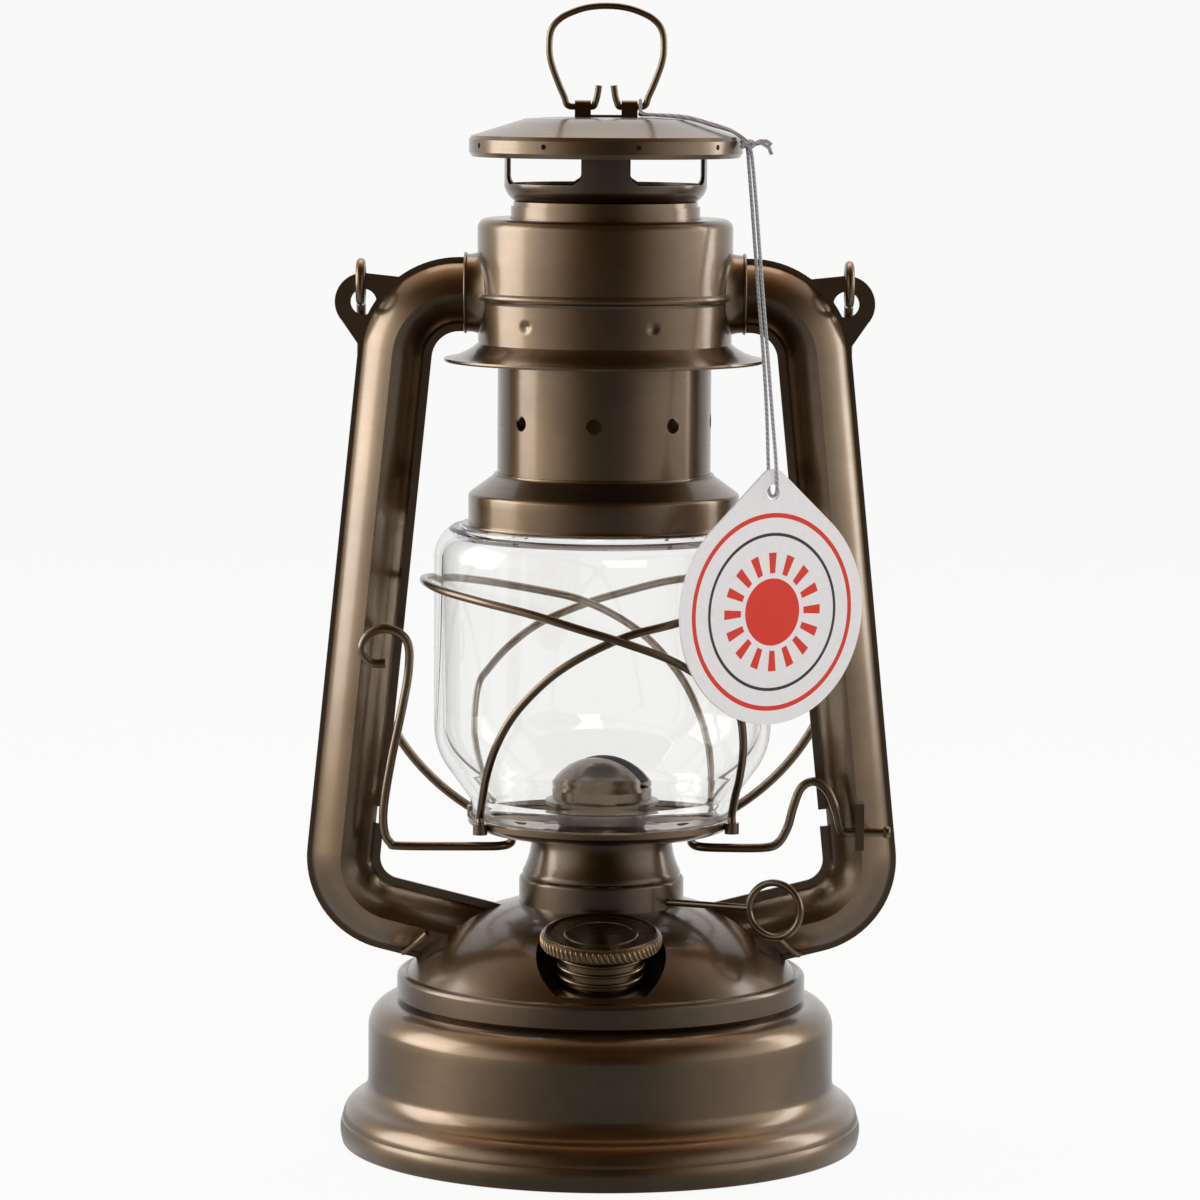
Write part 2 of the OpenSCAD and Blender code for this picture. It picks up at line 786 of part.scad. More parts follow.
module hood_shell() {
    color(bronze) difference() {
        shell(hood_outline(0), hood_outline(sheet));
        for (side = [0, 1]) mirror([side, 0, 0])
            translate([hood_r - 6, 0, tube_top_z]) rotate([0, 90, 0]) cylinder(r = inlet_r, h = 12);
    }
}

module hood_skirt() {
    lip = 0.9;
    z1 = hood_z - skirt_fall;
    top_r = hood_r - 0.2;
    color(bronze) rotate_extrude() polygon(concat(
        slope([skirt_r, z1 + lip], [top_r, hood_z], -0.7),
        [[top_r - sheet, hood_z]],
        slope([top_r - sheet, hood_z - sheet], [skirt_r - 0.6, z1], 0.7)
    ));
}

module lever_bracket() {
    high = 12;
    color(wire_bronze) difference() {
        translate([bracket_x - bracket_t / 2, lever_y - 2.6, lever_z - 4.4]) cube([bracket_t, 10, high]);
        tube_run(false) tube_full_section();
        translate([bracket_x - 5, lever_y, lever_z]) rotate([0, 90, 0])
            cylinder(r = lever_wire_r + pin_play, h = 10, $fn = 48);
        translate([bracket_x - 5, -tube_depth / 2, lever_z - 10]) cube([10, 20, 20]);
    }
}

// Chimney spring between the chimney's step and the hood's top
spring_wire_r = 0.5;
spring_r = (chimney_r + neck_tube_r) / 2;
spring_turns = 4;
spring_z = [chimney_top + spring_wire_r + 0.1, hood_top - sheet - spring_wire_r - 0.1];
loop_rings = 24;
spring_line = [for (i = [0:spring_turns * loop_rings])
    let (u = i / (spring_turns * loop_rings), a = 360 * spring_turns * u)
    [spring_r * cos(a), spring_r * sin(a), spring_z[0] + u * (spring_z[1] - spring_z[0])]];

module chimney_spring() {
    echo(least_spring_gap = least_gap(spring_line, spring_wire_r, loop_rings / 2));
    color(iron) wire(spring_line, spring_wire_r, 6);
}

module globe_plate() {
    vents = 12;
    vent_r = 2.4;
    ledge_r = globe_foot_r - glass - 1.2;
    z1 = plate_z + plate_rim_h;
    color(bronze) difference() {
        union() {
            rotate_extrude() polygon(concat(
                [[plate_hole_r, plate_z]],
                slope([plate_r - 5, plate_z], [plate_r, plate_z + 2.2], 0.4),
                [[plate_r, z1 - 0.4], [plate_r - 0.4, z1]],
                [[plate_r - sheet, z1], [plate_r - sheet, globe_z]],
                [[ledge_r, globe_z], [ledge_r - 1.4, plate_z + sheet], [plate_hole_r, plate_z + sheet]]
            ));
            for (a = guard_feet)
                rotate([0, 0, a]) translate([socket_foot_r, 0, z1 - socket_h])
                    cylinder(r = guard_wire_r + 0.8, h = socket_h, $fn = 48);
        }
        translate([0, 0, globe_z]) cylinder(r = plate_r - sheet, h = 20);
        for (i = [0:vents - 1]) rotate([0, 0, 360 * (i + 0.5) / vents])
            translate([(plate_hole_r + ledge_r) / 2, 0, plate_z - 1])
            cylinder(r = vent_r, h = 4, $fn = 48);
        for (a = guard_feet)
            rotate([0, 0, a]) translate([socket_foot_r, 0, z1 - socket_h + socket_floor])
                cylinder(r = guard_wire_r + pin_play, h = socket_h, $fn = 48);
    }
}

// Distance of a guard wire from the axis: outside the other one in front, inside it at the back
function guard_out(a, side) = globe_r + guard_gap - side * guard_cross * sin(a) * sin(a);

// Guard wire as angle from its low side, share of the rise and height: front half, then back half
guard_z = plate_z + plate_rim_h;
guard_rise = lip_z - guard_z;
guard_front = [
    [guard_foot, 0, 0.004], [guard_foot, 0, 0.03], [guard_foot + 5.5, 0.24, 0.1],
    [guard_foot + 11, 0.58, 0.18], [guard_foot + 16, 0.92, 0.29],
    [42.3, 1, 0.4], [47.7, 1, 0.455], [57, 1, 0.53], [69, 1, 0.605],
    [84.8, 1, 0.67], [97, 1, 0.71], [112.6, 1, 0.755], [131, 1, 0.785], [153, 1, 0.805], [180, 1, 0.812]
];
guard_back = [
    [guard_far_foot, 0, 0.004], [guard_far_foot, 0, 0.03], [guard_far_foot + 9, 0.33, 0.115],
    [guard_far_foot + 16, 0.68, 0.195], [guard_far_foot + 22.4, 0.96, 0.29],
    [59.2, 1, 0.388], [66.3, 1, 0.475], [75.3, 1, 0.56], [86, 1, 0.63],
    [98.5, 1, 0.687], [112, 1, 0.72], [135, 1, 0.765], [158, 1, 0.797]
];

function guard_point(g, side) =
    let (r = socket_foot_r + g[1] * (guard_out(g[0], side) - socket_foot_r))
    [r * cos(g[0]), side * r * sin(g[0]), guard_z + g[2] * guard_rise];

function guard_end(a, side) =
    [socket_foot_r * cos(a), side * socket_foot_r * sin(a), guard_z - socket_h + socket_floor];

module right_guard() {
    front = [for (g = guard_front) guard_point(g, -1)];
    back = [for (i = [len(guard_back) - 1:-1:0]) guard_point(guard_back[i], 1)];
    line = concat([guard_end(guard_foot, -1)], front, back, [guard_end(guard_far_foot, 1)]);
    color(wire_bronze) wire(curve(line, 3), guard_wire_r);
}

module left_guard() {
    rotate([0, 0, 180]) right_guard();
}

// Globe outline at depth t: foot, bowl, wall and shoulder
function globe_outline(t) =
    let (
        foot_top = globe_z + globe_foot_h,
        a = bowl_lean,
        b = acos(1 - (globe_r - lip_r) / globe_shoulder_r),
        run = (globe_r - globe_foot_r - (bowl_r + waist_r) * (1 - cos(a))) / sin(a),
        bowl_z = foot_top + (waist_r + bowl_r) * sin(a) + run * cos(a)
    )
    concat(
        [[globe_foot_r - 0.6 - t, globe_z], [globe_foot_r - t, globe_z + 2]],
        arc([globe_foot_r + waist_r, foot_top], waist_r + t, 180, 180 - a),
        arc([globe_r - bowl_r, bowl_z], bowl_r - t, -a, 0),
        arc([globe_r - globe_shoulder_r, lip_z - globe_shoulder_r * sin(b)], globe_shoulder_r - t, 0, b)
    );

module globe() {
    color(glass_tint, 0.4) difference() {
        union() {
            shell(globe_outline(0), globe_outline(glass));
            ring(lip_r, seat_in_r, lip_z - 2.6, 2.6);
        }
        translate([0, 0, lip_z - 10]) cylinder(r = seat_in_r, h = 20);
    }
}

// Seat outline at depth t: wall, tight shoulder and cone up to the chimney's foot
seat_round_r = 1.3;
seat_wall_h = 9.9;
seat_collar_r = chimney_r + 0.1 + sheet;
seat_top = seat_z + seat_h;

function seat_outline(t) =
    concat(
        [[seat_r - t, seat_z]],
        arc([seat_r - seat_round_r, seat_z + seat_wall_h - seat_round_r], seat_round_r - t, 0, 60),
        [[seat_collar_r - t, seat_top - 0.6 - t / 2], [seat_collar_r - t, seat_top]]
    );

// Radius in the middle of the seat's cone at height z
function seat_cone_r(z) =
    let (
        low = [seat_r - seat_round_r / 2, seat_z + seat_wall_h - 0.2],
        high = [seat_collar_r, seat_top - 0.6]
    )
    low.x + (z - low.y) / (high.y - low.y) * (high.x - low.x) - 0.7;

module globe_seat() {
    flange_z = lip_z + play;
    color(bronze) union() {
        shell(seat_outline(0), seat_outline(sheet));
        ring(seat_flange_r, seat_r - sheet / 2, flange_z, 0.6);
        ring(seat_cone_r(chimney_z - sheet / 2), chimney_r - 2, chimney_z - sheet, sheet);
    }
}

module chimney_tube() {
    hole_z = chimney_z + 16;
    inner_neck = neck_tube_r - sheet;
    color(bronze) difference() {
        rotate_extrude() polygon([
            [chimney_r - sheet, chimney_z],
            [chimney_r, chimney_z],
            [chimney_r, chimney_top],
            [neck_tube_r, chimney_top],
            [neck_tube_r, neck_top - 1.2],
            [neck_tube_r - 0.6, neck_top - 1.2],
            [neck_tube_r - 0.6, neck_top],
            [inner_neck - 0.8, neck_top],
            [inner_neck - 0.8, chimney_top - sheet],
            [chimney_r - sheet, chimney_top - sheet]
        ]);
        for (i = [0:draught_holes - 1])
            rotate([0, 0, -90 + draught_turn + 360 * i / draught_holes])
                translate([chimney_r - 4, 0, hole_z]) rotate([0, 90, 0])
                cylinder(r = draught_hole_r, h = 8, $fn = 48);
    }
}

// Canopy outline at depth t: rim and slope up to the flat top
function canopy_outline(t) =
    let (z1 = canopy_z + canopy_rim_h)
    [
        [canopy_r - 0.8 - t, canopy_z],
        [canopy_r - t, canopy_z + 1.2],
        [canopy_r - t, z1 - 1],
        [canopy_r - 0.7 - t, z1 - t / 2],
        [canopy_flat_r, canopy_top - 0.6 - t],
        [canopy_flat_r - 6, canopy_top - 0.2 - t],
        [0, canopy_top - t]
    ];

module canopy() {
    marks = 9;
    mark_r = 0.7;
    mark_turn = 13.5;
    color(bronze) difference() {
        shell(canopy_outline(0), canopy_outline(sheet));
        for (i = [0:marks - 1])
            rotate([0, 0, -90 + mark_turn + 360 * i / marks])
                translate([canopy_r - 3, 0, canopy_z + 0.55 * canopy_rim_h]) rotate([0, 90, 0])
                cylinder(r = mark_r, h = 6, $fn = 24);
    }
}

// Crown: a ring on the neck and four legs that reach up under the canopy
module crown() {
    legs = 4;
    foot = 2;
    cup_r = crown_r - 2.9;
    wall = 0.8;
    root = wall / 2;
    top = canopy_top - crown_top;
    color(bronze) difference() {
        union() {
            rotate_extrude() polygon(concat(
                [[neck_tube_r - 2.4, neck_top]],
                slope([cup_r, neck_top], [crown_r, crown_top - wall], 0.5),
                [[crown_r, crown_top], [crown_r - sheet, crown_top], [crown_r - sheet, crown_top - wall]],
                [[cup_r - 0.3, neck_top + sheet], [neck_tube_r - 2.4, neck_top + sheet]]
            ));
            intersection() {
                ring(crown_r, crown_r - sheet, crown_top - root, top + root);
                for (i = [0:legs - 1]) rotate([0, 0, 360 * i / legs]) translate([0, 0, crown_top])
                    rotate([90, 0, 0]) linear_extrude(crown_r + 2) polygon([
                        [-leg_w / 2 - foot, 0],
                        [-leg_w / 2 - foot, -root],
                        [leg_w / 2 + foot, -root],
                        [leg_w / 2 + foot, 0],
                        [leg_w / 2 + 0.5, foot / 2],
                        [leg_w / 2, foot],
                        [leg_w / 2, top],
                        [-leg_w / 2, top],
                        [-leg_w / 2, foot],
                        [-leg_w / 2 - 0.5, foot / 2]
                    ]);
            }
        }
        rotate_extrude() polygon(concat(
            canopy_outline(sheet),
            [[0, canopy_top + 20], [canopy_r + 20, canopy_top + 20], [canopy_r + 20, canopy_z]]
        ));
    }
}

module ring_lug() {
    barrel_r = ring_wire_r + 0.8;
    barrel = [prong_x + 0.9, ring_foot - 2.3];
    strap = 0.5;
    strap_z = canopy_top - 0.05;
    color(bronze_dark) difference() {
        union() {
            for (side = [0, 1]) mirror([side, 0, 0]) {
                translate([barrel[0], 0, ring_z]) rotate([0, 90, 0])
                    cylinder(r = barrel_r, h = barrel[1] - barrel[0], $fn = 48);
                translate([barrel[0], -barrel_r, strap_z])
                    cube([barrel[1] - barrel[0], barrel_r + 0.6, ring_z - strap_z]);
            }
            translate([-barrel[1], -4, strap_z]) cube([2 * barrel[1], 8, strap]);
        }
        translate([-20, 0, ring_z]) rotate([0, 90, 0])
            cylinder(r = ring_wire_r + pin_play, h = 40, $fn = 48);
        rotate_extrude() polygon(concat([[0, 0]], [[canopy_r, 0]], canopy_outline(0)));
    }
}

// Half of the ring's wire, from the tip of a prong through the hinge up to the top
prong_x = 3;
ring_half = [
    [prong_x - 1.1, ring_z + prong_h],
    [prong_x - 0.7, ring_z + 0.5 * prong_h],
    [prong_x - 0.25, ring_z + 1.1],
    [prong_x + 0.1, ring_z + 0.25],
    [prong_x + 0.6, ring_z],
    [prong_x + 1.2, ring_z],
    [ring_foot - 3, ring_z],
    [ring_foot - 2.1, ring_z],
    [ring_foot - 0.9, ring_z + 0.1],
    [ring_foot - 0.1, ring_z + 0.8],
    [ring_foot + 0.4, ring_z + 2.4],
    [ring_foot + 0.3 * (ring_r - ring_foot) + 0.6, ring_z + 0.22 * ring_h],
    [ring_r - 0.6, ring_z + 0.41 * ring_h],
    [ring_r, ring_z + 0.56 * ring_h],
    [ring_r - 0.5, ring_z + 0.735 * ring_h],
    [ring_r - 3, ring_z + 0.85 * ring_h],
    [0.51 * ring_r, ring_z + 0.925 * ring_h],
    [0.26 * ring_r, ring_z + ring_h - ring_wire_r - 0.25],
    [0, ring_z + ring_h - ring_wire_r]
];

module lifting_ring() {
    loop = concat(
        [for (p = ring_half) [p.x, 0, p.y]],
        [for (i = [len(ring_half) - 2:-1:0]) [-ring_half[i].x, 0, ring_half[i].y]]
    );
    color(wire_bronze) wire(curve(loop, 3), ring_wire_r, 12);
}

// Lever wire from the pin in its bracket, round the crank, to the finger loop at the left tube
tube_slope = tan(tube_lean);
left_edge = corner_x - (lever_z - corner_z) * tube_slope - half_w - inner_flange;
lever_line = concat(
    [
        [bracket_x - 3.6, lever_y, lever_z],
        [bracket_x - 4.9, lever_y, lever_z + 1.2],
        [bracket_x - 6, lever_y, lever_z + 5.5],
        [bracket_x - 8.2, lever_y, lever_z + 10.6],
        [bracket_x - 11.6, lever_y, lever_z + 13],
        [bracket_x - 15, lever_y, lever_z + 11.4],
        [bracket_x - 17, lever_y, lever_z + 6.4],
        [bracket_x - 18.4, lever_y, lever_z + 1.2],
        [bracket_x - 20.8, lever_y, lever_low + 1.4],
        [bracket_x - 24.5, lever_y, lever_low + 0.1],
        [crank_half + 8, lever_y, lever_low],
        [crank_half + 2.4, lever_y + 0.8, lever_low + 0.1],
        [crank_half + 0.3, lever_y + 4, lever_low + 0.3],
        [crank_half, 0, lever_low + 0.5],
        [crank_half, crank_back - 10, plate_z - 2],
        [crank_half - 1.8, crank_back - 2.5, plate_z - 1.75],
        [crank_half - 7.2, crank_back, plate_z - 1.65],
        [0, crank_back, plate_z - 1.65],
        [7.2 - crank_half, crank_back, plate_z - 1.65],
        [1.8 - crank_half, crank_back - 2.5, plate_z - 1.75],
        [-crank_half, crank_back - 10, plate_z - 2],
        [-crank_half, 0, lever_low + 0.5],
        [-crank_half - 0.3, lever_y + 4, lever_low + 0.3],
        [-crank_half - 2.4, lever_y + 0.8, lever_low + 0.1],
        [-crank_half - 8, lever_y, lever_low]
    ],
    [
        for (p = [
            [-5, 0, lever_low - lever_z],
            [-2.2, 0, lever_low - lever_z + 0.8],
            [-0.6, 0, -0.4],
            [0.1, -0.2, 6],
            [-0.6, -0.6, 18],
            [-2.2, -1, 33],
            [-2.7, -1.2, 41.5],
            [-1.9, -1.6, 48],
            [1.2, -2, 51.2],
            [5.7, -2.2, 51.9],
            [9.1, -2.2, 49.6],
            [9.6, -2, 46],
            [6.9, -1.6, 43.2],
            [3.5, -1.3, 43]
        ])
        [-left_edge - p.x + max(p.z, 0) * tube_slope, lever_y + p.y, lever_z + p.z]
    ]
);

module lift_lever() {
    pin_end = [pin_end_x, lever_y, lever_z];
    color(wire_bronze) union() {
        wire(curve(lever_line, 2), lever_wire_r - wire_inset);
        rod([bracket_x - 4, lever_y, lever_z], pin_end, lever_wire_r, $fn = 48);
        rod(pin_end - [1.8, 0, 0], pin_end, lever_wire_r + 0.35, $fn = 48);
    }
}

module bail() {
    color(wire_bronze) translate([0, 0, bail_z]) rotate([bail_lean, 0, 0]) union() {
        for (side = [-1, 1]) translate([side * bail_half, 0, 0]) {
            rotate([0, 90, 0]) rotate_extrude()
                translate([bail_eye_r, 0]) circle(r = bail_wire_r, $fn = 32);
            translate([0, 0, -bail_arm]) cylinder(r = bail_wire_r, h = bail_arm - bail_eye_r, $fn = 32);
        }
        translate([0, 0, -bail_arm]) rotate([-90, 0, 0]) rotate_extrude(angle = 180)
            translate([bail_half, 0]) circle(r = bail_wire_r, $fn = 32);
    }
}

module cap_seal() {
    color(rubber_black) at_filler(neck_s + play) ring(neck_r, neck_r - 3, 0, seal_t);
}

module filler_cap() {
    ridges = 3;
    ridge = 0.5;
    rim_z = cap_skirt_h;
    top = cap_skirt_h + cap_rim_h;
    inside = neck_r + 0.35;
    roof = neck_s + seal_t + 2 * play - cap_s;
    color(bronze_dark) at_filler(cap_s) rotate_extrude() polygon(concat(
        [[inside, 0], [cap_skirt_r - ridge, 0]],
        [for (i = [0:ridges - 1]) each arc([cap_skirt_r - ridge, (i + 0.5) * cap_pitch + 0.4],
            ridge, -90, 90, 4)],
        [[cap_skirt_r - ridge, rim_z], [cap_r - 0.8, rim_z], [cap_r, rim_z + 0.8], [cap_r, top - 0.8]],
        [[cap_r - 1, top], [cap_r - 2.4, top - 0.6], [0, top - 0.6], [0, roof], [inside, roof]]
    ));
}

module wick() {
    color(cotton) rotate([0, 0, -key_angle]) translate([-wick_w / 2, -wick_t / 2, wick_foot_z])
        cube([wick_w, wick_t, wick_tube_top + wick_out - wick_foot_z]);
}

module wick_key() {
    inner_end = -wick_w / 2 - 1;
    color(wire_bronze) at_key() union() {
        translate([inner_end, 0, 0]) rotate([0, 90, 0])
            cylinder(r = key_wire_r, h = key_loop_in - inner_end, $fn = 48);
        translate([key_reach, 0, 0]) rotate([90, 0, 0]) rotate_extrude()
            translate([key_loop_r, 0]) circle(r = key_wire_r, $fn = 32);
    }
}

module wick_cogs() {
    cogs = 3;
    teeth = 10;
    thick = 1.2;
    color(iron) at_key() for (c = [0:cogs - 1])
        translate([(c - 1) * wick_w / cogs - thick / 2, 0, 0]) rotate([0, 90, 0]) difference() {
            cylinder(r = cog_r, h = thick, $fn = 48);
            translate([0, 0, -1]) cylinder(r = key_wire_r, h = thick + 2, $fn = 48);
            for (k = [0:teeth - 1]) rotate([0, 0, 360 * k / teeth])
                translate([cog_r, 0, -1]) cylinder(r = 0.6, h = thick + 2, $fn = 24);
        }
}

// Tag frame: x across the tag, y up, z out of its face, origin at the middle of the round part
module at_tag() {
    n = [sin(tag_turn), -cos(tag_turn), 0];
    t = [cos(tag_turn), sin(tag_turn), 0];
    translate(tag_off * n + tag_along * t + [0, 0, tag_z])
        rotate([0, 0, tag_turn]) rotate([90, 0, 0]) children();
}

module hang_tag() {
    a = asin((tag_r - tag_top_r) / tag_drop);
    color(card) at_tag() translate([0, 0, -tag_t / 2]) linear_extrude(tag_t) difference() {
        polygon(concat(
            arc([0, tag_drop], tag_top_r, a, 180 - a, 16),
            arc([0, 0], tag_r, 180 - a, 360 + a, 48)
        ));
        translate([0, tag_hole_up]) circle(r = tag_hole_r);
    }
}

module tag_string() {
    line = curve(string_route, 2);
    echo(least_string_gap = least_gap(line, string_d / 2, 5));
    color(thread_grey) wire(line, string_d / 2);
}

module string_knot() {
    color(thread_grey) translate(knot) sphere(r = knot_r, $fn = 32);
}

tank_bottom();
foot_band();
tank_shell();
tank_top_plate();
air_dome();
filler_neck();
burner_ring();
burner_collar();
burner_body();
burner_cone();
wick_tube();
left_tube_front();
left_tube_back();
right_tube_front();
right_tube_back();
left_socket();
right_socket();
hood_shell();
hood_skirt();
lever_bracket();
chimney_spring();
globe_plate();
left_guard();
right_guard();
globe();
globe_seat();
chimney_tube();
crown();
canopy();
ring_lug();
hang_tag();
tag_string();
string_knot();
lifting_ring();
lift_lever();
bail();
cap_seal();
filler_cap();
wick();
wick_key();
wick_cogs();
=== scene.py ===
import bpy, bmesh, math
from mathutils import Matrix, Vector


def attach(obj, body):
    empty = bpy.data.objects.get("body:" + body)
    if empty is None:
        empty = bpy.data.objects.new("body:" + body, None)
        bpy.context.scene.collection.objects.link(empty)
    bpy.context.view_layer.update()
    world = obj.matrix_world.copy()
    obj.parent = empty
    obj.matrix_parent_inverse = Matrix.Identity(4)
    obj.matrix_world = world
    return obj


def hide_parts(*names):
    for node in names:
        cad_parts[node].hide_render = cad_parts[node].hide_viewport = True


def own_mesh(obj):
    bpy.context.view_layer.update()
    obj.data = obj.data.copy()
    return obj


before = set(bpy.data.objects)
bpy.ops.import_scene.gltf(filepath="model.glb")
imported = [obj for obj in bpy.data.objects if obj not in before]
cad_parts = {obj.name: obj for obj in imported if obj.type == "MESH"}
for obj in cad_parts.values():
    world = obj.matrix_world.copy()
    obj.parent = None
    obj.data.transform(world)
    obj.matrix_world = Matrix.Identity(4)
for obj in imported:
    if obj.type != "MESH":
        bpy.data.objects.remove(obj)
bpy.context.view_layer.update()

# The view: a long lens a little above the globe, looking slightly down, as a catalogue picture is taken.
# The lantern's axis leans a third of a degree to the right in the picture, so the camera is rolled by that.
scene = bpy.context.scene
scene.view_settings.view_transform = "Standard"
lens = bpy.data.cameras.new("long_lens")
lens.lens, lens.sensor_width, lens.clip_start, lens.clip_end = 158.2, 36.0, 0.05, 20.0
camera = bpy.data.objects.new("long_lens", lens)
scene.collection.objects.link(camera)
eye, pitch_down, roll = (-0.0008, -1.351, 0.2817), 5.947, 0.36
camera.matrix_world = (Matrix.Translation(eye)
                       @ Matrix.Rotation(math.radians(90 - pitch_down), 4, "X")
                       @ Matrix.Rotation(math.radians(roll), 4, "Z"))
scene.camera = camera


# The studio: white paper that runs from the floor up behind the lantern, and soft boxes round it.
# The paper is matt and keeps the shadow, and the eye and the glass see it as plain white. The metal sees
# a room that is dim in front and bright at both sides, which draws the two tall lights on every round wall.
def hex_linear(code):
    parts = [int(code[i:i + 2], 16) / 255 for i in (1, 3, 5)]
    return [c / 12.92 if c <= 0.04045 else ((c + 0.055) / 1.055) ** 2.4 for c in parts] + [1.0]


def add(tree, kind, values=(), links=(), **settings):
    node = tree.nodes.new(kind)
    for name, value in settings.items():
        setattr(node, name, value)
    for socket, value in dict(values).items():
        node.inputs[socket].default_value = value
    for socket, source in dict(links).items():
        tree.links.new(source, node.inputs[socket])
    return node


def new_material(name):
    material = bpy.data.materials.new(name)
    material.use_nodes = True
    material.node_tree.nodes.clear()
    return material, material.node_tree


def mesh_object(name, vertices, faces, scale=0.001):
    mesh = bpy.data.meshes.new(name)
    mesh.from_pydata([[c * scale for c in v] for v in vertices], [], faces)
    obj = bpy.data.objects.new(name, mesh)
    scene.collection.objects.link(obj)
    return obj


paper, tree = new_material("matt_white_paper")
rays = add(tree, "ShaderNodeLightPath")
place = add(tree, "ShaderNodeTexCoord")
flat = add(tree, "ShaderNodeVectorMath", operation="MULTIPLY", values={1: (1, 1, 0)},
           links={0: place.outputs["Object"]})
toward = add(tree, "ShaderNodeVectorMath", operation="NORMALIZE", links={0: flat.outputs[0]})
toward = add(tree, "ShaderNodeSeparateXYZ", links={0: toward.outputs[0]})
behind = add(tree, "ShaderNodeMapRange", values={1: -1, 2: 1}, links={0: toward.outputs["Y"]})
falloff = add(tree, "ShaderNodeValToRGB", links={0: behind.outputs[0]})


def grey_ramp(ramp, first, last, between):
    stops = ramp.color_ramp.elements
    stops[0].position, stops[0].color = 0.0, (first, first, first, 1)
    stops[1].position, stops[1].color = 1.0, (last, last, last, 1)
    for at, shade in between:
        stops.new(at).color = (shade, shade, shade, 1)


grey_ramp(falloff, 0.13, 0.8,
          ((0.05, 0.17), (0.12, 0.29), (0.25, 0.45), (0.36, 0.53), (0.5, 0.36), (0.75, 0.3)))
seen = add(tree, "ShaderNodeMath", operation="MAXIMUM",
           links={0: rays.outputs["Is Camera Ray"], 1: rays.outputs["Is Transmission Ray"]})
share = add(tree, "ShaderNodeMath", operation="MULTIPLY", values={1: 0.92}, links={0: seen.outputs[0]})
matt = add(tree, "ShaderNodeBsdfDiffuse", values={"Color": hex_linear("#f2f2f2")})
glow = add(tree, "ShaderNodeEmission", values={"Color": (1, 1, 1, 1), "Strength": 1.0})
mirrored = add(tree, "ShaderNodeEmission", values={"Strength": 1.0}, links={"Color": falloff.outputs[0]})
both = add(tree, "ShaderNodeMixShader", links={0: share.outputs[0], 1: matt.outputs[0], 2: glow.outputs[0]})
bounced = add(tree, "ShaderNodeMath", operation="SUBTRACT", use_clamp=True,
              links={0: rays.outputs["Is Glossy Ray"], 1: rays.outputs["Is Transmission Ray"]})
both = add(tree, "ShaderNodeMixShader",
           links={0: bounced.outputs[0], 1: both.outputs[0], 2: mirrored.outputs[0]})
add(tree, "ShaderNodeOutputMaterial", links={"Surface": both.outputs[0]})

bend_y, bend_r, paper_front, paper_top, half_width = 1.7, 0.9, -3.6, 3.85, 4.5
bend = [math.radians(a) for a in range(9, 91, 9)]
run = ([(paper_front, 0), (bend_y, 0)]
       + [(bend_y + bend_r * math.sin(a), bend_r - bend_r * math.cos(a)) for a in bend]
       + [(bend_y + bend_r, paper_top)])
under_foot = 0.0002
paper_points = [(x, y, z - under_foot) for y, z in run for x in (-half_width, half_width)]
paper_faces = [(2 * i, 2 * i + 1, 2 * i + 3, 2 * i + 2) for i in range(len(run) - 1)]
sweep_paper = mesh_object("paper_sweep", paper_points, paper_faces, 1.0)
sweep_paper.data.materials.append(paper)
sweep_paper.data.shade_smooth()

world = bpy.data.worlds.new("studio")
scene.world = world
world.use_nodes = True
tree = world.node_tree
tree.nodes.clear()
rays = add(tree, "ShaderNodeLightPath")
seen = add(tree, "ShaderNodeMath", operation="MAXIMUM",
           links={0: rays.outputs["Is Camera Ray"], 1: rays.outputs["Is Transmission Ray"]})
place = add(tree, "ShaderNodeTexCoord")
way = add(tree, "ShaderNodeSeparateXYZ", links={0: place.outputs["Generated"]})
aside = add(tree, "ShaderNodeMath", operation="ABSOLUTE", links={0: way.outputs["X"]})
walls = add(tree, "ShaderNodeValToRGB", links={0: aside.outputs[0]})
grey_ramp(walls, 0.02, 1.0, ((0.35, 0.04), (0.57, 0.18), (0.72, 0.4), (0.84, 0.55), (0.93, 0.75)))
ahead = add(tree, "ShaderNodeMapRange", values={1: 0.3, 2: -0.05, 3: 0.0, 4: 0.42},
            links={0: way.outputs["Y"]})
right = add(tree, "ShaderNodeMath", operation="GREATER_THAN", values={1: 0.0}, links={0: way.outputs["X"]})
less = add(tree, "ShaderNodeMath", operation="MULTIPLY", links={0: ahead.outputs[0], 1: right.outputs[0]})
keep = add(tree, "ShaderNodeMath", operation="MULTIPLY_ADD", values={1: -2.0, 2: 2.0},
           links={0: less.outputs[0]})
side = add(tree, "ShaderNodeMath", operation="MULTIPLY", links={0: walls.outputs[0], 1: keep.outputs[0]})
up = add(tree, "ShaderNodeMapRange", values={1: 0.35, 2: 0.75}, links={0: way.outputs["Z"]})
roof = add(tree, "ShaderNodeMapRange", values={1: -0.2, 2: 0.45, 3: 0.06, 4: 1.0},
           links={0: way.outputs["Y"]})
level = add(tree, "ShaderNodeMix", links={0: up.outputs[0], 2: side.outputs[0], 3: roof.outputs[0]})
warm = add(tree, "ShaderNodeMapRange", values={1: 0.3, 2: 0.8}, links={0: aside.outputs[0]})
tint = add(tree, "ShaderNodeMix", data_type="RGBA",
           values={6: hex_linear("#ffc58a"), 7: hex_linear("#fffdf9")}, links={0: warm.outputs[0]})
room = add(tree, "ShaderNodeBackground", links={"Color": tint.outputs[2], "Strength": level.outputs[0]})
white = add(tree, "ShaderNodeBackground", values={"Color": (1, 1, 1, 1), "Strength": 1.0})
both = add(tree, "ShaderNodeMixShader", links={0: seen.outputs[0], 1: room.outputs[0], 2: white.outputs[0]})
add(tree, "ShaderNodeOutputWorld", links={"Surface": both.outputs[0]})


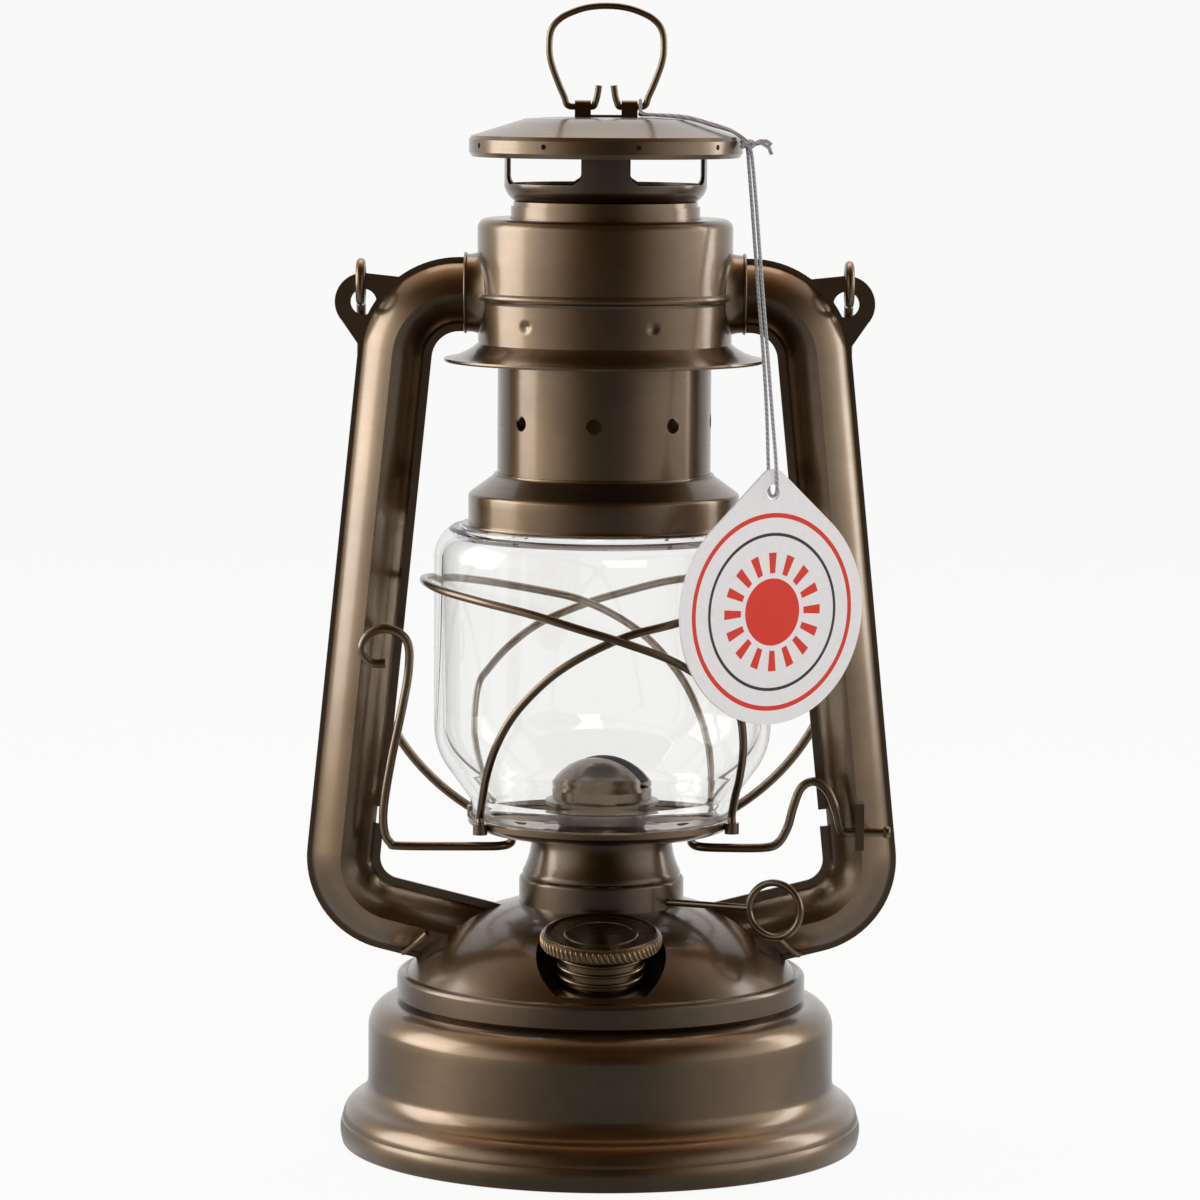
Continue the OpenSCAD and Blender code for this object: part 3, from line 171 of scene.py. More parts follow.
def soft_box(name, place, aim, width, height, power):
    light = bpy.data.lights.new(name, "AREA")
    light.shape, light.size, light.size_y, light.energy = "RECTANGLE", width, height, power
    obj = bpy.data.objects.new(name, light)
    obj.location = place
    obj.rotation_euler = (Vector(aim) - Vector(place)).to_track_quat("-Z", "Y").to_euler()
    scene.collection.objects.link(obj)


soft_box("left_box", (-1.09, 0.09, 0.45), (0, 0, 0.2), width=0.7, height=0.8, power=4.2)
soft_box("right_box", (1.05, 0.32, 0.45), (0, 0, 0.2), width=0.3, height=0.8, power=1.7)
soft_box("top_box", (0, 0.65, 1.4), (0, 0, 0.1), width=1.1, height=0.6, power=3.0)
soft_box("front_fill", (0.5, -1.7, 1.0), (0, 0, 0.15), width=1.0, height=1.0, power=15.0)
bpy.data.objects["front_fill"].visible_glossy = False


# Tank: two deep-drawn steel pans, the lower one crimped over the upper one in a band that is the foot.
# Steel with a bronze-tinted satin lacquer: brown metal with pale grey lights and a faint turned grain.
def bronze_lacquer(name, dark, light, rough, grain_mm):
    material, tree = new_material(name)
    place = add(tree, "ShaderNodeTexCoord")
    lines = add(tree, "ShaderNodeMapping", values={"Scale": (90, 90, 1000 / grain_mm)},
                links={"Vector": place.outputs["Object"]})
    grain = add(tree, "ShaderNodeTexNoise", values={"Scale": 1.0, "Detail": 4, "Roughness": 0.65},
                links={"Vector": lines.outputs[0]})
    cloud = add(tree, "ShaderNodeTexNoise", values={"Scale": 38, "Detail": 5, "Roughness": 0.6},
                links={"Vector": place.outputs["Object"]})
    tone = add(tree, "ShaderNodeMapRange", values={1: 0.3, 2: 0.7, 3: 0.0, 4: 1.0},
               links={0: cloud.outputs[0]})
    colour = add(tree, "ShaderNodeMix", data_type="RGBA",
                 values={6: hex_linear(dark), 7: hex_linear(light)}, links={0: tone.outputs[0]})
    polish = add(tree, "ShaderNodeMapRange", values={1: 0.25, 2: 0.75, 3: rough - 0.06, 4: rough + 0.07},
                 links={0: grain.outputs[0]})
    relief = add(tree, "ShaderNodeBump", values={"Strength": 0.1, "Distance": 0.00003},
                 links={"Height": grain.outputs[0]})
    metal = add(tree, "ShaderNodeBsdfPrincipled",
                values={"Metallic": 1.0, "Coat Weight": 1.0, "Coat Roughness": 0.17, "Coat IOR": 1.7},
                links={"Base Color": colour.outputs[2], "Roughness": polish.outputs[0],
                       "Normal": relief.outputs[0]})
    add(tree, "ShaderNodeOutputMaterial", links={"Surface": metal.outputs[0]})
    return material


def arc(x, z, r, a0, a1, steps=16):
    turn = [math.radians(a0 + (a1 - a0) * i / steps) for i in range(steps + 1)]
    return [(x + r * math.cos(a), z + r * math.sin(a)) for a in turn]


def slope(p0, p1, bulge, steps=16):
    dx, dz = p1[0] - p0[0], p1[1] - p0[1]
    n = math.hypot(dx, dz)
    out = []
    for i in range(steps + 1):
        u = i / steps
        s = 4 * bulge * u * (1 - u)
        out.append((p0[0] + u * dx + s * dz / n, p0[1] + u * dz - s * dx / n))
    return out


def lathe(name, outline, segments=192):
    vertices, rows = [], []
    for r, z in outline:
        if r < 1e-6:
            rows.append([len(vertices)] * segments)
            vertices.append((0, 0, z))
        else:
            rows.append(range(len(vertices), len(vertices) + segments))
            turns = [2 * math.pi * k / segments for k in range(segments)]
            vertices += [(r * math.cos(a), r * math.sin(a), z) for a in turns]
    faces = []
    for a, b in zip(rows, rows[1:] + rows[:1]):
        for k in range(segments):
            ring = [a[k], a[(k + 1) % segments], b[(k + 1) % segments], b[k]]
            face = list(dict.fromkeys(ring))
            if len(face) > 2:
                faces.append(face)
    obj = mesh_object(name, vertices, faces)
    close_up(obj)
    return obj


def spline(points, steps):
    out = []
    n = len(points)
    for i in range(n - 1):
        b, c = Vector(points[i]), Vector(points[i + 1])
        a = Vector(points[i - 1]) if i else 2 * b - c
        d = Vector(points[i + 2]) if i < n - 2 else 2 * c - b
        for s in range(steps):
            u = s / steps
            out.append(0.5 * (2 * b + (c - a) * u + (2 * a - 5 * b + 4 * c - d) * u * u
                              + (3 * b - a - 3 * c + d) * u * u * u))
    return out + [Vector(points[-1])]


def wire(name, line, r, sides=16):
    line = [Vector(p) for p in line]
    vertices, faces, across = [], [], None
    for i, p in enumerate(line):
        along = (line[min(i + 1, len(line) - 1)] - line[max(i - 1, 0)]).normalized()
        if across is None:
            across = along.orthogonal().normalized()
        across = (across - across.dot(along) * along).normalized()
        other = along.cross(across)
        turns = [2 * math.pi * k / sides for k in range(sides)]
        vertices += [p + r * (math.cos(a) * across + math.sin(a) * other) for a in turns]
    for i in range(len(line) - 1):
        for k in range(sides):
            a, b = i * sides + k, i * sides + (k + 1) % sides
            faces.append((a, b, b + sides, a + sides))
    faces += [tuple(range(sides)), tuple(range(len(vertices) - sides, len(vertices)))]
    obj = mesh_object(name, vertices, faces)
    close_up(obj)
    return obj


def close_up(obj):
    work = bmesh.new()
    work.from_mesh(obj.data)
    bmesh.ops.remove_doubles(work, verts=work.verts, dist=1e-6)
    bmesh.ops.recalc_face_normals(work, faces=work.faces)
    work.to_mesh(obj.data)
    work.free()


def fit(obj, node, body, finish, angle=32):
    obj.data.shade_smooth()
    obj.data.set_sharp_from_angle(angle=math.radians(angle))
    obj.data.materials.clear()
    obj.data.materials.append(finish)
    if node:
        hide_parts(*([node] if isinstance(node, str) else node))
    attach(obj, body)
    return obj


sheet_bronze = bronze_lacquer("bronze_lacquered_sheet_steel", "#6e563a", "#886f50", rough=0.36, grain_mm=0.55)
# A darker copy of the same lacquer: painted shade for parts that sit in shadow, the filler neck in its pocket,
# the burner under the globe plate and the crown under the canopy; the ring's strap takes it too.
shaded_bronze = bronze_lacquer("bronze_lacquered_steel_painted_shade", "#59452e", "#715a40", rough=0.36, grain_mm=0.55)

band = ([(0, 2.4), (59.7, 2.4), (60.3, 2.2), (62.2, 0.25), (62.8, 0.0)] + arc(66.2, 0.8, 0.8, -90, 0, 6)
        + slope((67.05, 1.2), (67.1, 5.9), 0.35, 10) + arc(66.8, 5.9, 0.3, 0, 90, 4)
        + [(65.4, 6.2), (65.4, 3.2), (0, 3.2)])
fit(lathe("tank_foot_band", band), ["tank_bottom", "foot_band"], "frame", sheet_bronze)


def tank_side(t):
    foot_r, foot_z, wall_r, wall_z, corner_r, top_z, neck_r = 66.8, 6.2, 60.2, 16.8, 7, 37.3, 20
    dx, dz = foot_r - wall_r, wall_z - foot_z
    r = (dx * dx + dz * dz) / (4 * dx)
    a = math.degrees(math.asin(dz / 2 / r))
    return (arc(foot_r - r, foot_z, r - t, 0, a) + arc(wall_r + r, wall_z, r + t, 180 + a, 180)[1:]
            + [(wall_r - t, 20 + i * 1.3) for i in range(8)]
            + arc(wall_r - corner_r, top_z - corner_r, corner_r - t, 0, 90)[1:] + [(neck_r, top_z - t)])


sheet = 0.8
upper_pan = lathe("tank_upper_pan", tank_side(0) + tank_side(sheet)[::-1], 224)
fit(upper_pan, ["tank_shell", "tank_top_plate"], "frame", sheet_bronze)


# Air dome: a pressed cover on the tank with a rolled foot and a pocket in front for the filler.
# The same lacquered sheet, a shade darker: painted shade standing in for the shadows of its embossed lettering,
# which is not modelled. Its pressing is kept from the model and only smoothed.
def smooth_copy(node, name):
    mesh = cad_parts[node].data.copy()
    mesh.name = name
    obj = bpy.data.objects.new(name, mesh)
    scene.collection.objects.link(obj)
    work = bmesh.new()
    work.from_mesh(mesh)
    bmesh.ops.remove_doubles(work, verts=work.verts, dist=1e-6)
    work.to_mesh(mesh)
    work.free()
    for key in list(mesh.attributes.keys()):
        if key.startswith("custom_normal"):
            mesh.attributes.remove(mesh.attributes[key])
    return obj


# Darker than the sheet: painted shade.
shaded_dome_bronze = bronze_lacquer("bronze_lacquered_dome_painted_shade", "#5a462f", "#735c41", rough=0.38, grain_mm=0.55)
fit(smooth_copy("air_dome", "dome_pressing"), "air_dome", "frame", shaded_dome_bronze, 24)

# Filler: a threaded neck soldered in the tank's top, a rubber washer, and a screw cap with a rope knurl.
# The cap is turned brass under the same lacquer; its knurl is given a lighter, warmer colour than the cap.
filler = Matrix.Translation((0, -0.034, 0.0373)) @ Matrix.Rotation(math.radians(10), 4, "X")
# The neck takes the darker copy of the lacquer: painted shade for the dark pocket it stands in.
fit(smooth_copy("filler_neck", "filler_neck_tube"), "filler_neck", "frame", shaded_bronze)

rubber, tree = new_material("moulded_black_rubber")
place = add(tree, "ShaderNodeTexCoord")
speck = add(tree, "ShaderNodeTexNoise", values={"Scale": 2500, "Detail": 2},
            links={"Vector": place.outputs["Object"]})
relief = add(tree, "ShaderNodeBump", values={"Strength": 0.2, "Distance": 0.00004},
             links={"Height": speck.outputs[0]})
body = add(tree, "ShaderNodeBsdfPrincipled", values={"Base Color": hex_linear("#242424"), "Roughness": 0.7},
           links={"Normal": relief.outputs[0]})
add(tree, "ShaderNodeOutputMaterial", links={"Surface": body.outputs[0]})
fit(smooth_copy("cap_seal", "cap_washer"), "cap_seal", "cap_seal", rubber)

cap_bronze = bronze_lacquer("bronze_lacquered_turned_brass", "#5f4826", "#806239", rough=0.3, grain_mm=0.4)
knurl_brass = bronze_lacquer("brass_knurl_lighter_warmer", "#86683a", "#b08c56", rough=0.3, grain_mm=0.4)
cap_up, skirt_r, ridge_r, pitch = 0.0116, 10.9, 0.55, 2.5
cap_profile = [(9.55, 0), (10.6, 0), (skirt_r, 0.3)]
for i in range(3):
    z = (i + 0.5) * pitch + 0.4
    cap_profile += ([(skirt_r, z - ridge_r)] + arc(skirt_r - 0.05, z, ridge_r, -75, 75, 8)
                    + [(skirt_r, z + ridge_r)])
cap_profile += [(skirt_r, 8.4), (11.3, 8.6), (14.7, 8.6), (15.1, 9.0), (15.1, 11.7), (14.6, 12.2), (14.0, 12.4),
                (13.3, 12.2), (12.8, 11.8), (9.4, 11.8), (9.1, 12.05), (8.6, 12.05), (8.3, 11.8), (0, 11.8),
                (0, 10.6), (9.55, 10.6)]
cap = lathe("filler_cap_body", cap_profile, 128)
cap.data.transform(filler @ Matrix.Translation((0, 0, cap_up)))
fit(cap, "filler_cap", "filler_cap", cap_bronze)


def ring_of_beads(name, count, radius, length, thick, lean, finish):
    group = bpy.data.node_groups.new(name, "GeometryNodeTree")
    group.interface.new_socket("Geometry", in_out="INPUT", socket_type="NodeSocketGeometry")
    settings = []
    for label, kind, value in (
            ("Count", "Int", count), ("Radius", "Float", radius), ("Length", "Float", length),
            ("Thickness", "Float", thick), ("Lean", "Float", math.radians(lean))):
        socket = group.interface.new_socket(label, in_out="INPUT", socket_type=f"NodeSocket{kind}")
        settings.append((socket.identifier, value))
    group.interface.new_socket("Geometry", in_out="OUTPUT", socket_type="NodeSocketGeometry")
    given = add(group, "NodeGroupInput")
    circle = add(group, "GeometryNodeMeshCircle",
                 links={"Vertices": given.outputs["Count"], "Radius": given.outputs["Radius"]})
    bead = add(group, "GeometryNodeMeshIcoSphere", values={"Radius": 1.0, "Subdivisions": 2})
    where = add(group, "GeometryNodeInputPosition")
    turn = add(group, "FunctionNodeAlignRotationToVector", axis="X", links={"Vector": where.outputs[0]})
    tilt = add(group, "ShaderNodeCombineXYZ", links={"X": given.outputs["Lean"]})
    spun = add(group, "FunctionNodeRotateRotation", rotation_space="LOCAL",
               links={"Rotation": turn.outputs[0], "Rotate By": tilt.outputs[0]})
    size = add(group, "ShaderNodeCombineXYZ",
               links={"X": given.outputs["Thickness"], "Y": given.outputs["Thickness"],
                      "Z": given.outputs["Length"]})
    beads = add(group, "GeometryNodeInstanceOnPoints",
                links={"Points": circle.outputs[0], "Instance": bead.outputs[0], "Rotation": spun.outputs[0],
                       "Scale": size.outputs[0]})
    real = add(group, "GeometryNodeRealizeInstances", links={0: beads.outputs[0]})
    coat = add(group, "GeometryNodeSetMaterial", links={"Geometry": real.outputs[0]})
    coat.inputs["Material"].default_value = finish
    add(group, "NodeGroupOutput", links={0: coat.outputs[0]})
    seed = mesh_object(name + "_seed", [], [])
    live = seed.modifiers.new(name, "NODES")
    live.node_group = group
    for identifier, value in settings:
        live[identifier] = value
    mesh = bpy.data.meshes.new_from_object(seed.evaluated_get(bpy.context.evaluated_depsgraph_get()))
    bpy.data.objects.remove(seed)
    obj = bpy.data.objects.new(name, mesh)
    scene.collection.objects.link(obj)
    mesh.shade_smooth()
    return obj


knurl_up = 0.0104
knurl = ring_of_beads("filler_cap_knurl", count=64, radius=0.01495, length=0.00165, thick=0.00055, lean=24,
                      finish=knurl_brass)
knurl.data.transform(filler @ Matrix.Translation((0, 0, cap_up + knurl_up)))
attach(knurl, "filler_cap")

# Burner: ring, collar, body and cone pressed from sheet and pushed together on the dome.
# The lacquer painted darker here, as painted shade under the globe plate; the cone has a slot that the flame
# comes through.
fit(smooth_copy("burner_ring", "burner_foot_ring"), "burner_ring", "frame", shaded_bronze)
collar_profile = ([(19.6, 69.7), (20.4, 69.7), (20.4, 70.6)] + slope((20.3, 70.9), (18.2, 79.1), -0.5)
                  + [(18.2, 80.2)] + arc(17.6, 80.5, 0.6, 0, 90, 6)
                  + [(10.6, 81.1), (10.6, 80.3), (17.4, 80.3)] + slope((17.4, 79.1), (19.5, 70.9), 0.5))
fit(lathe("burner_waist", collar_profile), "burner_collar", "frame", shaded_bronze)
fit(smooth_copy("burner_body", "burner_neck"), "burner_body", "frame", shaded_bronze)
fit(smooth_copy("burner_cone", "burner_cap"), "burner_cone", "frame", shaded_bronze, 24)

# Wick: a flat woven cotton strip in a plain steel tube, moved by three toothed wheels on the key's shaft.
# Undyed cotton with its weave; the steel is plain drawn strip.
cotton, tree = new_material("woven_cotton_wick")
place = add(tree, "ShaderNodeTexCoord")
weave = add(tree, "ShaderNodeTexWave", values={"Scale": 420, "Distortion": 1.5}, bands_direction="Z",
            links={"Vector": place.outputs["Object"]})
tint = add(tree, "ShaderNodeMix", data_type="RGBA",
           values={6: hex_linear("#b9ad94"), 7: hex_linear("#e6dfce")}, links={0: weave.outputs[0]})
relief = add(tree, "ShaderNodeBump", values={"Strength": 0.6, "Distance": 0.0002},
             links={"Height": weave.outputs[0]})
cloth = add(tree, "ShaderNodeBsdfPrincipled", values={"Roughness": 0.95},
            links={"Base Color": tint.outputs[2], "Normal": relief.outputs[0]})
add(tree, "ShaderNodeOutputMaterial", links={"Surface": cloth.outputs[0]})
fit(smooth_copy("wick", "flat_wick"), "wick", "wick", cotton)

steel, tree = new_material("plain_drawn_steel")
place = add(tree, "ShaderNodeTexCoord")
draw = add(tree, "ShaderNodeTexNoise", values={"Scale": 900, "Detail": 3},
           links={"Vector": place.outputs["Object"]})
polish = add(tree, "ShaderNodeMapRange", values={3: 0.25, 4: 0.45}, links={0: draw.outputs[0]})
metal = add(tree, "ShaderNodeBsdfPrincipled", values={"Base Color": hex_linear("#8f8a82"), "Metallic": 1.0},
            links={"Roughness": polish.outputs[0]})
add(tree, "ShaderNodeOutputMaterial", links={"Surface": metal.outputs[0]})
fit(smooth_copy("wick_tube", "wick_guide"), "wick_tube", "frame", steel)
fit(smooth_copy("wick_cogs", "wick_wheels"), "wick_cogs", "wick_key", steel)

wire_bronze = bronze_lacquer("bronze_lacquered_wire", "#6b5439", "#89704f", rough=0.34, grain_mm=2.0)
fit(smooth_copy("wick_key", "wick_key_wire"), "wick_key", "wick_key", wire_bronze)

# Air tubes: front and back halves pressed from sheet and seamed along flanges, with ears for the bail.
# They run from flared collars on the hood down to the dome, where a folded lip edges each foot.
tube_top_z, lip_r = 0.2199, 0.75
for side in ("left", "right"):
    for half in ("front", "back"):
        name = f"{side}_tube_{half}"
        pressing = smooth_copy(name, f"{side}_{half}_tube_pressing")
        fit(pressing, name, "frame", sheet_bronze, 26)
    sign = -1 if side == "left" else 1
    flare = (slope((11.5, 30.6), (9.95, 35.2), -0.45, 10) + arc(10.0, 35.65, 0.45, -90, 90, 8)
             + [(9.5, 36.1), (9.4, 35.6), (9.4, 30.6)])
    collar = lathe(f"{side}_tube_collar", flare, 96)
    collar.data.transform(Matrix.Translation((0, 0, tube_top_z))
                          @ Matrix.Rotation(math.radians(sign * 90), 4, "Y"))
    fit(collar, f"{side}_socket", "frame", sheet_bronze)
    lip = [(44.9, -8.1, 55.1), (45.6, -7.8, 54.4), (47.6, -6.1, 52.3), (49.6, -3.4, 50.3), (51.3, -1.0, 48.9)]
    fold = wire(f"{side}_foot_lip", spline([(sign * x, y, z) for x, y, z in lip], 6), lip_r, 12)
    fit(fold, None, "frame", sheet_bronze, 60)

# Hood: a drawn band with a rolled bead and two pairs of punched dimples, and a flared skirt under it.
# The same lacquered sheet; the tubes carry it, and the chimney slides up and down inside.
hood = ([(31.7, 207.1), (32.5, 207.1)] + [(32.5, 207.1 + i * 0.35) for i in range(1, 31)]
        + arc(32.7, 219.2, 1.1, -90, 90, 12) + [(32.7, 221), (32.7, 236.5)] + arc(30.1, 236.5, 2.6, 0, 90, 14)
        + [(24.5, 239.1), (24.5, 238.3), (30.1, 238.3)] + arc(30.1, 236.5, 1.8, 90, 0, 8) + [(31.9, 220)])
hood_band = lathe("hood_band", hood, 384)
dimple_r, dimple_depth, dimple_z, wall_r = 0.0019, 0.00055, 0.2124, 0.0325
for turn in (-128, -68, 52, 112):
    outward = Vector((math.cos(math.radians(turn)), math.sin(math.radians(turn)), 0))
    spot = outward * wall_r + Vector((0, 0, dimple_z))
    for v in hood_band.data.vertices:
        d = (v.co - spot).length / dimple_r
        if d < 1:
            v.co -= outward * dimple_depth * (1 - d * d) ** 2
fit(hood_band, "hood_shell", "frame", sheet_bronze)
skirt = (slope((41.1, 203.3), (32.5, 207.1), -0.7) + [(31.7, 207.1)]
         + slope((31.7, 206.3), (40.4, 202.4), 0.7) + arc(40.75, 202.85, 0.5, -120, 40, 6))
fit(lathe("hood_skirt_flare", skirt, 224), "hood_skirt", "frame", sheet_bronze)

# Lever bracket: a small eye plate on the right tube that holds the lever's pin, lacquered like the wires.
# With it the coil of plain spring wire inside the hood, which presses the chimney down on the globe.
# It is cut in two: the upper part stays with the hood, the lower part rides with the globe carrier.
eye_plate = smooth_copy("lever_bracket", "lever_eye_plate")
fit(eye_plate, "lever_bracket", "frame", wire_bronze)

coil_r, coil_foot, coil_high, turns, around = 25.8, 202.6, 35.1, 4, 40
coil = []
for i in range(turns * around + 1):
    a = 2 * math.pi * i / around
    coil.append((coil_r * math.cos(a), coil_r * math.sin(a), coil_foot + coil_high * i / (turns * around)))
split, globe_travel, chimney_travel = 91, 12.0, 16.0
upper_coil = wire("chimney_coil_upper", coil[split:], r=0.5, sides=10)
fit(upper_coil, "chimney_spring", "frame", steel, 50)
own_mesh(upper_coil)
lower_coil = wire("chimney_coil_lower", coil[:split + 1], r=0.5, sides=10)
fit(lower_coil, None, "globe_carrier", steel, 50)
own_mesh(lower_coil)

# Globe carrier: a perforated plate with a rolled rim, and two bent guard wires that stand in its sockets.
# Lacquered sheet and drawn wire; the wires cross in front of the glass and behind it.
tray = smooth_copy("globe_plate", "globe_tray")
fit(tray, "globe_plate", "globe_carrier", sheet_bronze, 26)
guard_front = [(23, 0, 0.004), (23, 0, 0.03), (28.5, 0.24, 0.1), (34, 0.58, 0.18), (39, 0.92, 0.29),
               (42.3, 1, 0.4), (47.7, 1, 0.455), (57, 1, 0.53), (69, 1, 0.605), (84.8, 1, 0.67), (97, 1, 0.71),
               (112.6, 1, 0.755), (131, 1, 0.785), (153, 1, 0.805), (180, 1, 0.812)]
guard_back = [(31, 0, 0.004), (31, 0, 0.03), (40, 0.33, 0.115), (47, 0.68, 0.195), (53.4, 0.96, 0.29),
              (59.2, 1, 0.388), (66.3, 1, 0.475), (75.3, 1, 0.56), (86, 1, 0.63), (98.5, 1, 0.687),
              (112, 1, 0.72), (135, 1, 0.765), (158, 1, 0.797)]
foot_ring_r, hoop_r, hoop_squeeze, hoop_low, hoop_rise, foot_end_z = 36.2, 46.25, 1.2, 85.3, 74.8, 83.0


def guard_point(turn, share, rise, side):
    a = math.radians(turn)
    r = foot_ring_r + share * (hoop_r - side * hoop_squeeze * math.sin(a) ** 2 - foot_ring_r)
    return (r * math.cos(a), side * r * math.sin(a), hoop_low + rise * hoop_rise)


def guard_end(turn, side):
    a = math.radians(turn)
    return (foot_ring_r * math.cos(a), side * foot_ring_r * math.sin(a), foot_end_z)


hoop = ([guard_end(23, -1)] + [guard_point(*g, -1) for g in guard_front]
        + [guard_point(*g, 1) for g in reversed(guard_back)] + [guard_end(31, 1)])
for name, turn in (("right_guard", 0), ("left_guard", 180)):
    guard = wire(f"{name}_wire", spline(hoop, 8), r=1.05)
    guard.data.transform(Matrix.Rotation(math.radians(turn), 4, "Z"))
    fit(guard, name, "globe_carrier", wire_bronze, 50)

# Globe: a mould-blown clear glass with a thick foot and lip.
# Soda-lime glass, smooth, nearly colourless with a trace of grey.
glass, tree = new_material("clear_soda_lime_glass")
place = add(tree, "ShaderNodeTexCoord")
ripple = add(tree, "ShaderNodeTexNoise", values={"Scale": 28, "Detail": 1},
             links={"Vector": place.outputs["Object"]})
relief = add(tree, "ShaderNodeBump", values={"Strength": 0.04, "Distance": 0.0004},
             links={"Height": ripple.outputs[0]})
clear = add(tree, "ShaderNodeBsdfPrincipled", links={"Normal": relief.outputs[0]},
            values={"Base Color": hex_linear("#fcfcfb"), "Roughness": 0.0, "IOR": 1.47,
                    "Transmission Weight": 1.0})
add(tree, "ShaderNodeOutputMaterial", links={"Surface": clear.outputs[0]})


def globe_side(t):
    return (arc(39.4, 86.9, 6 + t, 180, 144, 10) + arc(24.5, 108.93, 19 - t, -36, 0, 24)
            + [(43.5 - t, 112 + 8 * i) for i in range(5)] + arc(34.5, 152.3, 9 - t, 0, 60, 18))


glass_wall = 2.2
globe = ([(30.6, 84.6), (31.0, 84.1), (32.3, 84.1), (32.9, 84.5), (33.4, 85.9)] + globe_side(0)
         + [(38.6, 160.0), (37.8, 160.1), (36.0, 160.1), (35.4, 159.6), (35.4, 157.6), (36.4, 156.9)]
         + globe_side(glass_wall)[::-1][2:])
fit(lathe("glass_globe", globe, 256), "globe", "globe_carrier", glass, 40)

# Chimney: the bell that sits on the globe, the flue with draught holes, the crown and the canopy.
# All pressed from the same lacquered sheet.
seat = ([(34.0, 159.3), (34.5, 159.3), (34.8, 159.6), (34.8, 160.4), (36.5, 160.4), (36.6, 160.7),
         (36.5, 161.0), (34.8, 161.0), (34.8, 163.5), (34.8, 166), (34.8, 167.9)]
        + arc(33.5, 167.9, 1.3, 0, 60, 8) + [(33.9, 169.2), (29.0, 172.78), (28.5, 173.15), (28.3, 173.45),
           (28.2, 173.8), (28.0, 173.9), (27.5, 173.9), (27.5, 172.9), (29.4, 171.5), (25.4, 171.5),
           (25.4, 170.7), (30.5, 170.7), (33.75, 168.33), (34.0, 167.9)])
fit(lathe("globe_bell", seat, 224), "globe_seat", "chimney", sheet_bronze)
fit(smooth_copy("chimney_tube", "flue"), "chimney_tube", "chimney", sheet_bronze, 26)
# Crown and strap take the darker copy of the lacquer, which is painted shade.
fit(smooth_copy("crown", "crown_with_legs"), "crown", "chimney", shaded_bronze, 26)
fit(smooth_copy("canopy", "canopy_lid"), "canopy", "chimney", sheet_bronze, 20)
fit(smooth_copy("ring_lug", "ring_hinge_strap"), "ring_lug", "chimney", shaded_bronze)

# Lifting ring: one bent wire whose feet turn in the strap's barrels, with its ends bent up as prongs.
# Drawn wire, lacquered before bending; a finger in it lifts the chimney off the globe.
ring_half = [(1.9, 272.9), (2.3, 270.2), (2.75, 268.6), (3.1, 267.75), (3.6, 267.5), (4.2, 267.5), (7.3, 267.5),
             (8.2, 267.5), (9.4, 267.6), (10.2, 268.3), (10.7, 269.9), (12.19, 273.31), (14.0, 278.32),
             (14.6, 282.28), (14.1, 286.9), (11.6, 289.94), (7.45, 291.92), (3.8, 292.8), (0, 293.05)]
ring_line = [(x, 0, z) for x, z in ring_half] + [(-x, 0, z) for x, z in reversed(ring_half[:-1])]
ring_wire = wire("lifting_ring_wire", spline(ring_line, 8), r=0.85)
fit(ring_wire, "lifting_ring", "lifting_ring", wire_bronze, 50)

# Lift lever: one long wire from its pin in the bracket, round the crank under the plate, to the finger loop.
# The same lacquered wire; pressing the loop down tips the crank up under the plate. The pin's end is headed.
pin_x, pin_end_x, pin_y, pin_z, loop_x, loop_lean = 66.15, 74.15, -10, 82.5, -56.45, 0.0998
lever_line = [(pin_end_x, pin_y, pin_z), (70, pin_y, pin_z), (65, pin_y, pin_z)]
lever_line += [(pin_x - dx, pin_y, pin_z + dz) for dx, dz in (
    (3.6, 0), (4.9, 1.2), (6, 5.5), (8.2, 10.6), (11.6, 13), (15, 11.4), (17, 6.4), (18.4, 1.2), (20.8, -2.9),
    (24.5, -4.2))]
crank = [(31.2, -10, 78.2), (25.6, -9.2, 78.3), (23.5, -6, 78.5), (23.2, 0, 78.7), (23.2, 14, 79.4),
         (21.4, 21.5, 79.65), (16, 24, 79.75)]
lever_line += crank + [(0, 24, 79.75)] + [(-x, y, z) for x, y, z in reversed(crank)]
lever_line += [(loop_x - dx + max(dz, 0) * loop_lean, pin_y + dy, pin_z + dz) for dx, dy, dz in (
    (-5, 0, -4.3), (-2.2, 0, -3.5), (-0.6, 0, -0.4), (0.1, -0.2, 6), (-0.6, -0.6, 18), (-2.2, -1, 33),
    (-2.7, -1.2, 41.5), (-1.9, -1.6, 48), (1.2, -2, 51.2), (5.7, -2.2, 51.9), (9.1, -2.2, 49.6), (9.6, -2, 46),
    (6.9, -1.6, 43.2), (3.5, -1.3, 43))]
lever_wire = wire("lift_lever_wire", spline(lever_line, 6), r=1.14)
fit(lever_wire, "lift_lever", "lift_lever", wire_bronze, 50)
head = lathe("lever_pin_head", [(0, -1.8), (1.3, -1.8), (1.5, -1.6), (1.5, -0.4), (1.1, 0), (0, 0)], 32)
head.data.transform(Matrix.Translation((pin_end_x * 0.001, pin_y * 0.001, pin_z * 0.001))
                    @ Matrix.Rotation(math.radians(90), 4, "Y"))
fit(head, None, "lift_lever", wire_bronze, 50)

# Bail: the carrying wire, an eye at each end through the ear of a tube; it hangs behind the lantern.
# Drawn wire of a thicker gauge under the same lacquer.
fit(smooth_copy("bail", "bail_wire"), "bail", "bail", wire_bronze, 50)

